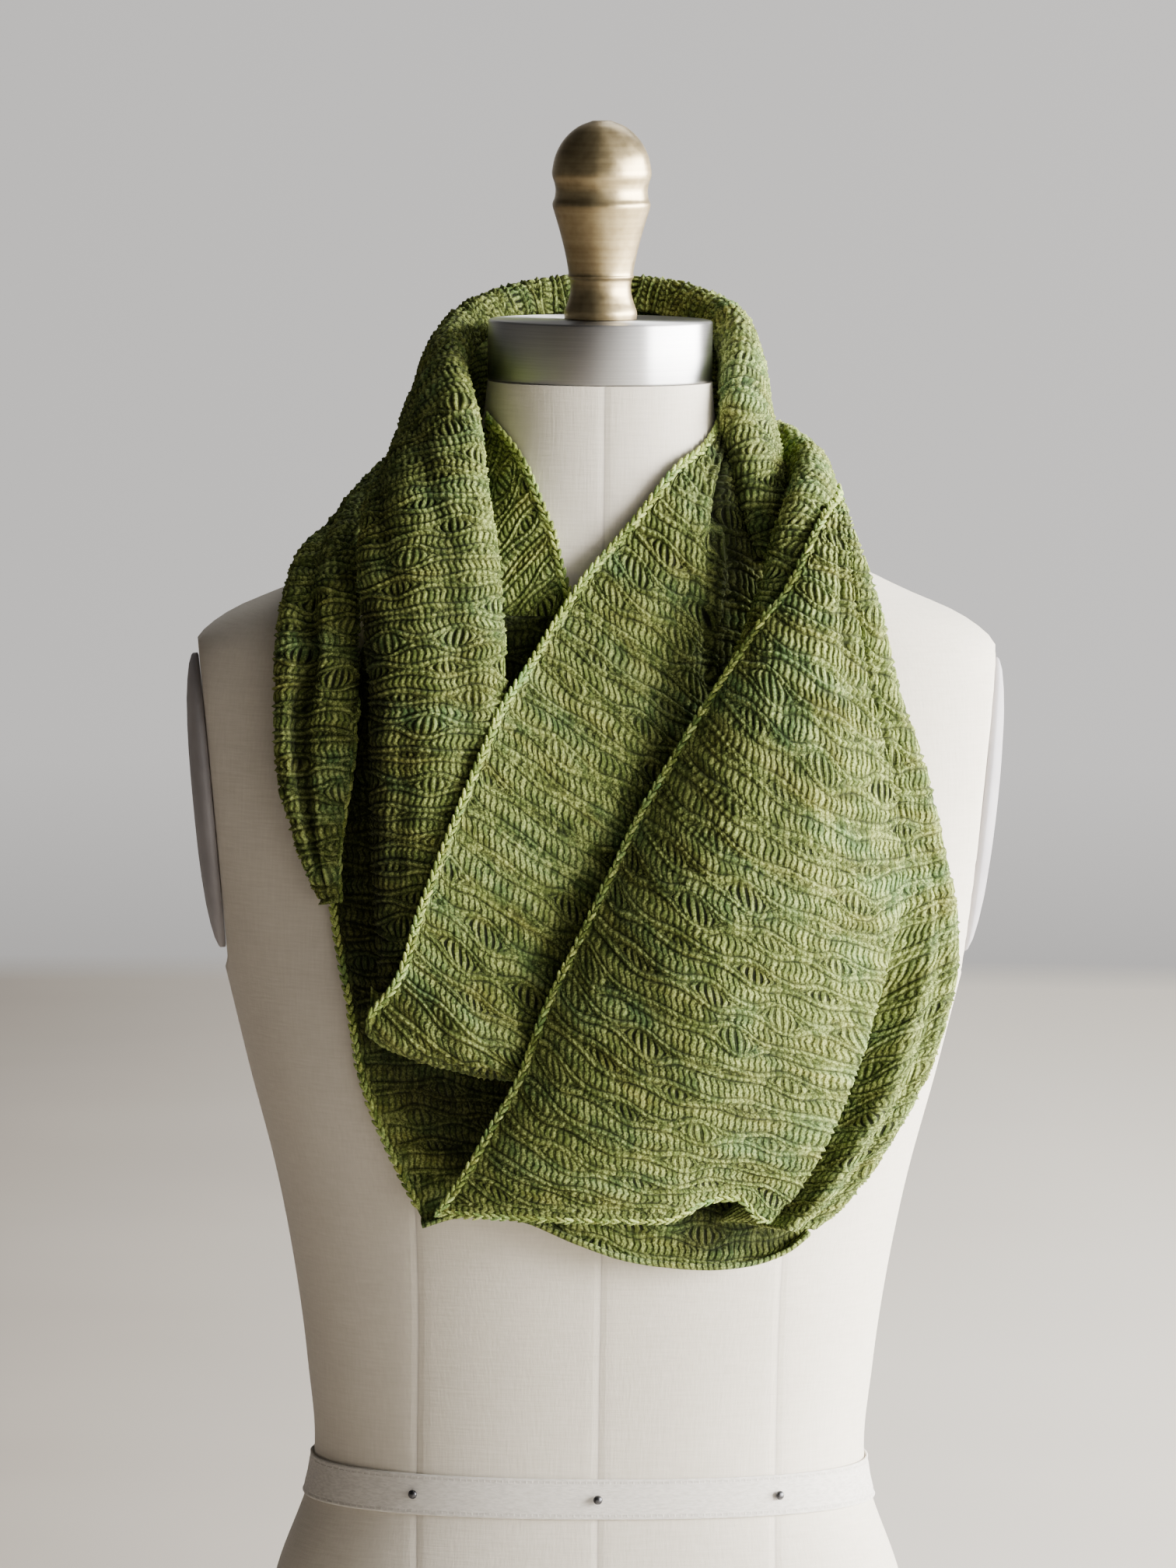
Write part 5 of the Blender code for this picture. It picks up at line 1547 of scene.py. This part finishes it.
# %% Chain edges
LINK_LENGTH = 4.6
LINK_BEAD = (3.1, 1.0, 0.95)      # half length, half width and half height of a bead
LINK_SLANT = math.radians(22)
LINK_ROWS_APART = 0.8
BEAD_RINGS = 6
BEAD_SIDES = 8
BEAD_END = 0.12                   # the first and last ring of a bead, as an angle from its tip
LINK_UNEVEN = 0.12
LINK_INSET = 0.9                  # how far in from the cloth's edge a link's middle lies
LINK_LIFT = 0.1
EDGE_STEP = 3                     # points into the cloth that give the inward direction


def bead():
    """A small ball of rings: points on a unit sphere, its faces and its two ends."""
    turn = around(BEAD_SIDES)
    points = [np.stack([np.full(BEAD_SIDES, math.cos(p)), math.sin(p) * np.cos(turn),
                        math.sin(p) * np.sin(turn)], axis=-1)
              for p in np.linspace(BEAD_END, math.pi - BEAD_END, BEAD_RINGS)]
    ends = [np.arange(BEAD_SIDES)[::-1], np.arange(BEAD_SIDES) + (BEAD_RINGS - 1) * BEAD_SIDES]
    return np.concatenate(points), grid_quads(BEAD_RINGS, BEAD_SIDES, closed=True), ends


def chain(name, edge, seed, size=1.0):
    """Links along an edge: its path in mm, the cloth's outward direction, and the way into the cloth."""
    path, out, inward = edge
    walked = lengths(path[None], axis=1)[0]
    count = int(walked[-1] / LINK_LENGTH)
    ball, quads, ends = bead()

    def here(values, at):
        return np.array([np.interp(at, walked, values[:, axis]) for axis in range(3)])

    vertices, faces, caps = [], [], []
    marks = {"knit": [], "lace": [], "tone": []}
    for k in range(count):
        at = (k + 0.5) * walked[-1] / count
        along = unit(here(path, at + 1.0) - here(path, at - 1.0))
        up = here(out, at)
        up = unit(up - along * np.dot(up, along))
        side = here(inward, at)
        side = unit(side - along * np.dot(side, along) - up * np.dot(side, up))
        for row in (-1, 1):
            long_axis = along * math.cos(LINK_SLANT) - row * side * math.sin(LINK_SLANT)
            wide_axis = side * math.cos(LINK_SLANT) + row * along * math.sin(LINK_SLANT)
            stretch = 1 + LINK_UNEVEN * (scatter(np.float64(k), np.float64(row), seed) - 0.5)
            middle = here(path, at) + side * (LINK_INSET + row * LINK_ROWS_APART * size) + up * LINK_LIFT
            start = len(vertices) * len(ball)
            vertices.append(middle + ball[:, :1] * long_axis * LINK_BEAD[0] * stretch
                            + ball[:, 1:2] * wide_axis * LINK_BEAD[1] * size
                            + ball[:, 2:] * up * LINK_BEAD[2] * size)
            faces.append(quads + start)
            caps += [end + start for end in ends]
            tint = scatter(np.float64(k), np.float64(row), seed + 2)
            # A ridge's marks, so each bead also gets a ridge's painted highlight.
            for key, mark in (("knit", (0.0, at + 40 * seed, RIDGE_AT)),
                              ("lace", (0.0, 3.0 * row + at * 0.6, 0.0)), ("tone", (tint, 0.0, 0.0))):
                marks[key].append(np.tile(mark, (len(ball), 1)))
    vectors = {key: np.concatenate(values) for key, values in marks.items()}
    made = mesh_object(name, np.concatenate(vertices), np.concatenate(faces), caps, vectors)
    # The chains wear the yarn painted lighter, as painted light.
    dress(made, edge_yarn_painted_lighter)
    print(f"{name}: {count} links over {walked[-1]:.0f} mm")


def left_edge(layer, first=0, last=None):
    """Path, outward and inward directions along the first column of a cloth."""
    outer, normal = layer.outer[first:last], layer.normal[first:last]
    return outer[:, 0], normal[:, 0], outer[:, EDGE_STEP] - outer[:, 0]


def flipped(layer):
    """The same cloth with its columns counted from the other side."""
    return Layer(layer.outer[:, ::-1], layer.normal[:, ::-1])


def upended(layer):
    """The same cloth with its last row as its first column."""
    return Layer(layer.outer[::-1].swapaxes(0, 1), layer.normal[::-1].swapaxes(0, 1))


chain("chain_outer_panel", left_edge(outer_panel), 1)
chain("chain_hem", left_edge(upended(outer_panel), 2, 160), 5, size=0.8)
chain("chain_inner_panel", left_edge(inner_panel, 0, INNER_ROWS - 2), 2)
chain("chain_neck_left", left_edge(neck_left), 3)
chain("chain_under", left_edge(under, 52, 188), 4)
chain("chain_left_outer", left_edge(flipped(rolls["knit_left_outer"]), 0, 96), 6)

# %% [markdown]
# ## Floor and light
#
# The room is plain: a pale floor, whose far rim fades out softly, and grey air behind it. Most of the light
# comes through one wide window on the right, so the right side is bright, the left lies in shade, and the
# steel cap mirrors a bright band beside a dark one. A ring of many small lamps could copy a room, but the
# world's own light can be painted by direction: dim on the left, pale behind, brighter towards the window.

# %% Floor
FLOOR_RIGHT = (0.95, 0.895, 0.80)
FLOOR_LEFT_PAINTED_SHADE = (0.275, 0.236, 0.20)   # painted shade: darker on the left, away from the window
FLOOR_RADIUS = 4.84
FLOOR_HOLE = 0.02
FADE_FROM = 4.62
FLOOR_SIDES = 128
FLOOR_RINGS = 24


def floor_finish():
    f = Finish("pale floor", roughness=0.9, specular=0.1)
    x, y = f.split(f.place())[:2]
    reach = f.math("SQRT", f.math("MULTIPLY_ADD", x, x, f.math("MULTIPLY", y, y)))
    share = f.math("DIVIDE", f.math("SUBTRACT", reach, FADE_FROM), FLOOR_RADIUS - FADE_FROM)
    f.set({"Alpha": f.ramp(share, [(0.0, 1.0), (1.0, 0.0)])})
    mottle = f.noise(f.place(), 1.3, detail=3.0)
    # Painted shade: the floor darkens from the right to the left, away from the window, with a random mottle.
    across = f.math("MULTIPLY_ADD", x, 0.5, f.math("MULTIPLY_ADD", mottle, 0.12, 0.44))
    return f.finish(f.ramp(across, [(0.2, FLOOR_LEFT_PAINTED_SHADE), (0.75, FLOOR_RIGHT)]))


turn = around(FLOOR_SIDES)
rings = np.stack([np.stack([r * np.cos(turn), r * np.sin(turn), 0 * turn], axis=-1)
                  for r in np.linspace(FLOOR_HOLE, FLOOR_RADIUS, FLOOR_RINGS)])
quads = grid_quads(FLOOR_RINGS, FLOOR_SIDES, closed=True)
floor = mesh_object("pale_floor", rings.reshape(-1, 3) / MM, quads, [np.arange(FLOOR_SIDES)[::-1]])
floor.data.materials.append(floor_finish())
print("floor of", 2 * FLOOR_RADIUS, "m")

# %% Lamps
Lamp = namedtuple("Lamp", "name place target width height power colour")
LAMPS = [
    Lamp("wide_window", (4.15, -0.42, 1.2), (0.0, 0.0, 0.75), 5.8, 2.0, 1520.0, (1.0, 0.985, 0.96)),
    Lamp("top_back", (1.0, 2.2, 3.0), (0.0, 0.0, 0.7), 1.8, 1.8, 26.0, (1.0, 1.0, 1.0)),
]
for lamp in LAMPS:
    data = bpy.data.lights.new(lamp.name, "AREA")
    data.shape = "RECTANGLE"
    data.size = lamp.width
    data.size_y = lamp.height
    data.energy = lamp.power
    data.color = lamp.colour
    made = bpy.data.objects.new(lamp.name, data)
    made.location = lamp.place
    made.rotation_euler = (Vector(lamp.target) - Vector(lamp.place)).to_track_quat("-Z", "Y").to_euler()
    bpy.context.scene.collection.objects.link(made)
print(len(LAMPS), "lamps")

# %% Light of the room
ROOM_STRENGTH = 3.0
ROOM_ROUND = [                    # (share of a turn, level): 0 and 1 are in front, 0.5 behind, 0.75 right
    (0.0, 0.08), (0.05, 0.016), (0.12, 0.016), (0.2, 0.042), (0.34, 0.035), (0.42, 0.07), (0.49, 0.22),
    (0.52, 0.31), (0.6, 0.3), (0.7, 0.55), (0.86, 1.0), (0.91, 0.8), (0.955, 0.25), (1.0, 0.075),
]
ROOM_UP = [(0.175, 0.62), (0.2, 1.0), (0.42, 1.0), (0.75, 0.35)]     # from below the horizon to overhead
ROOM_TINT = (1.0, 0.972, 0.948)
world = bpy.data.worlds.new("soft room light")
world.use_nodes = True
room = Nodes(world.node_tree)
x, y, z = room.split(room.node("TexCoord"))
turn = room.math("MULTIPLY_ADD", room.math("ARCTAN2", x, y), 1 / (2 * math.pi), 0.5)
upwards_light = room.ramp(room.math("MULTIPLY_ADD", z, 1.2, 0.3), ROOM_UP)
tone = room.times(room.times(room.ramp(turn, ROOM_ROUND), upwards_light), ROOM_TINT)
background = world.node_tree.nodes["Background"]
room.put(background.inputs["Color"], tone)
background.inputs["Strength"].default_value = ROOM_STRENGTH
bpy.context.scene.world = world
print("room light:", len(ROOM_ROUND), "levels round")
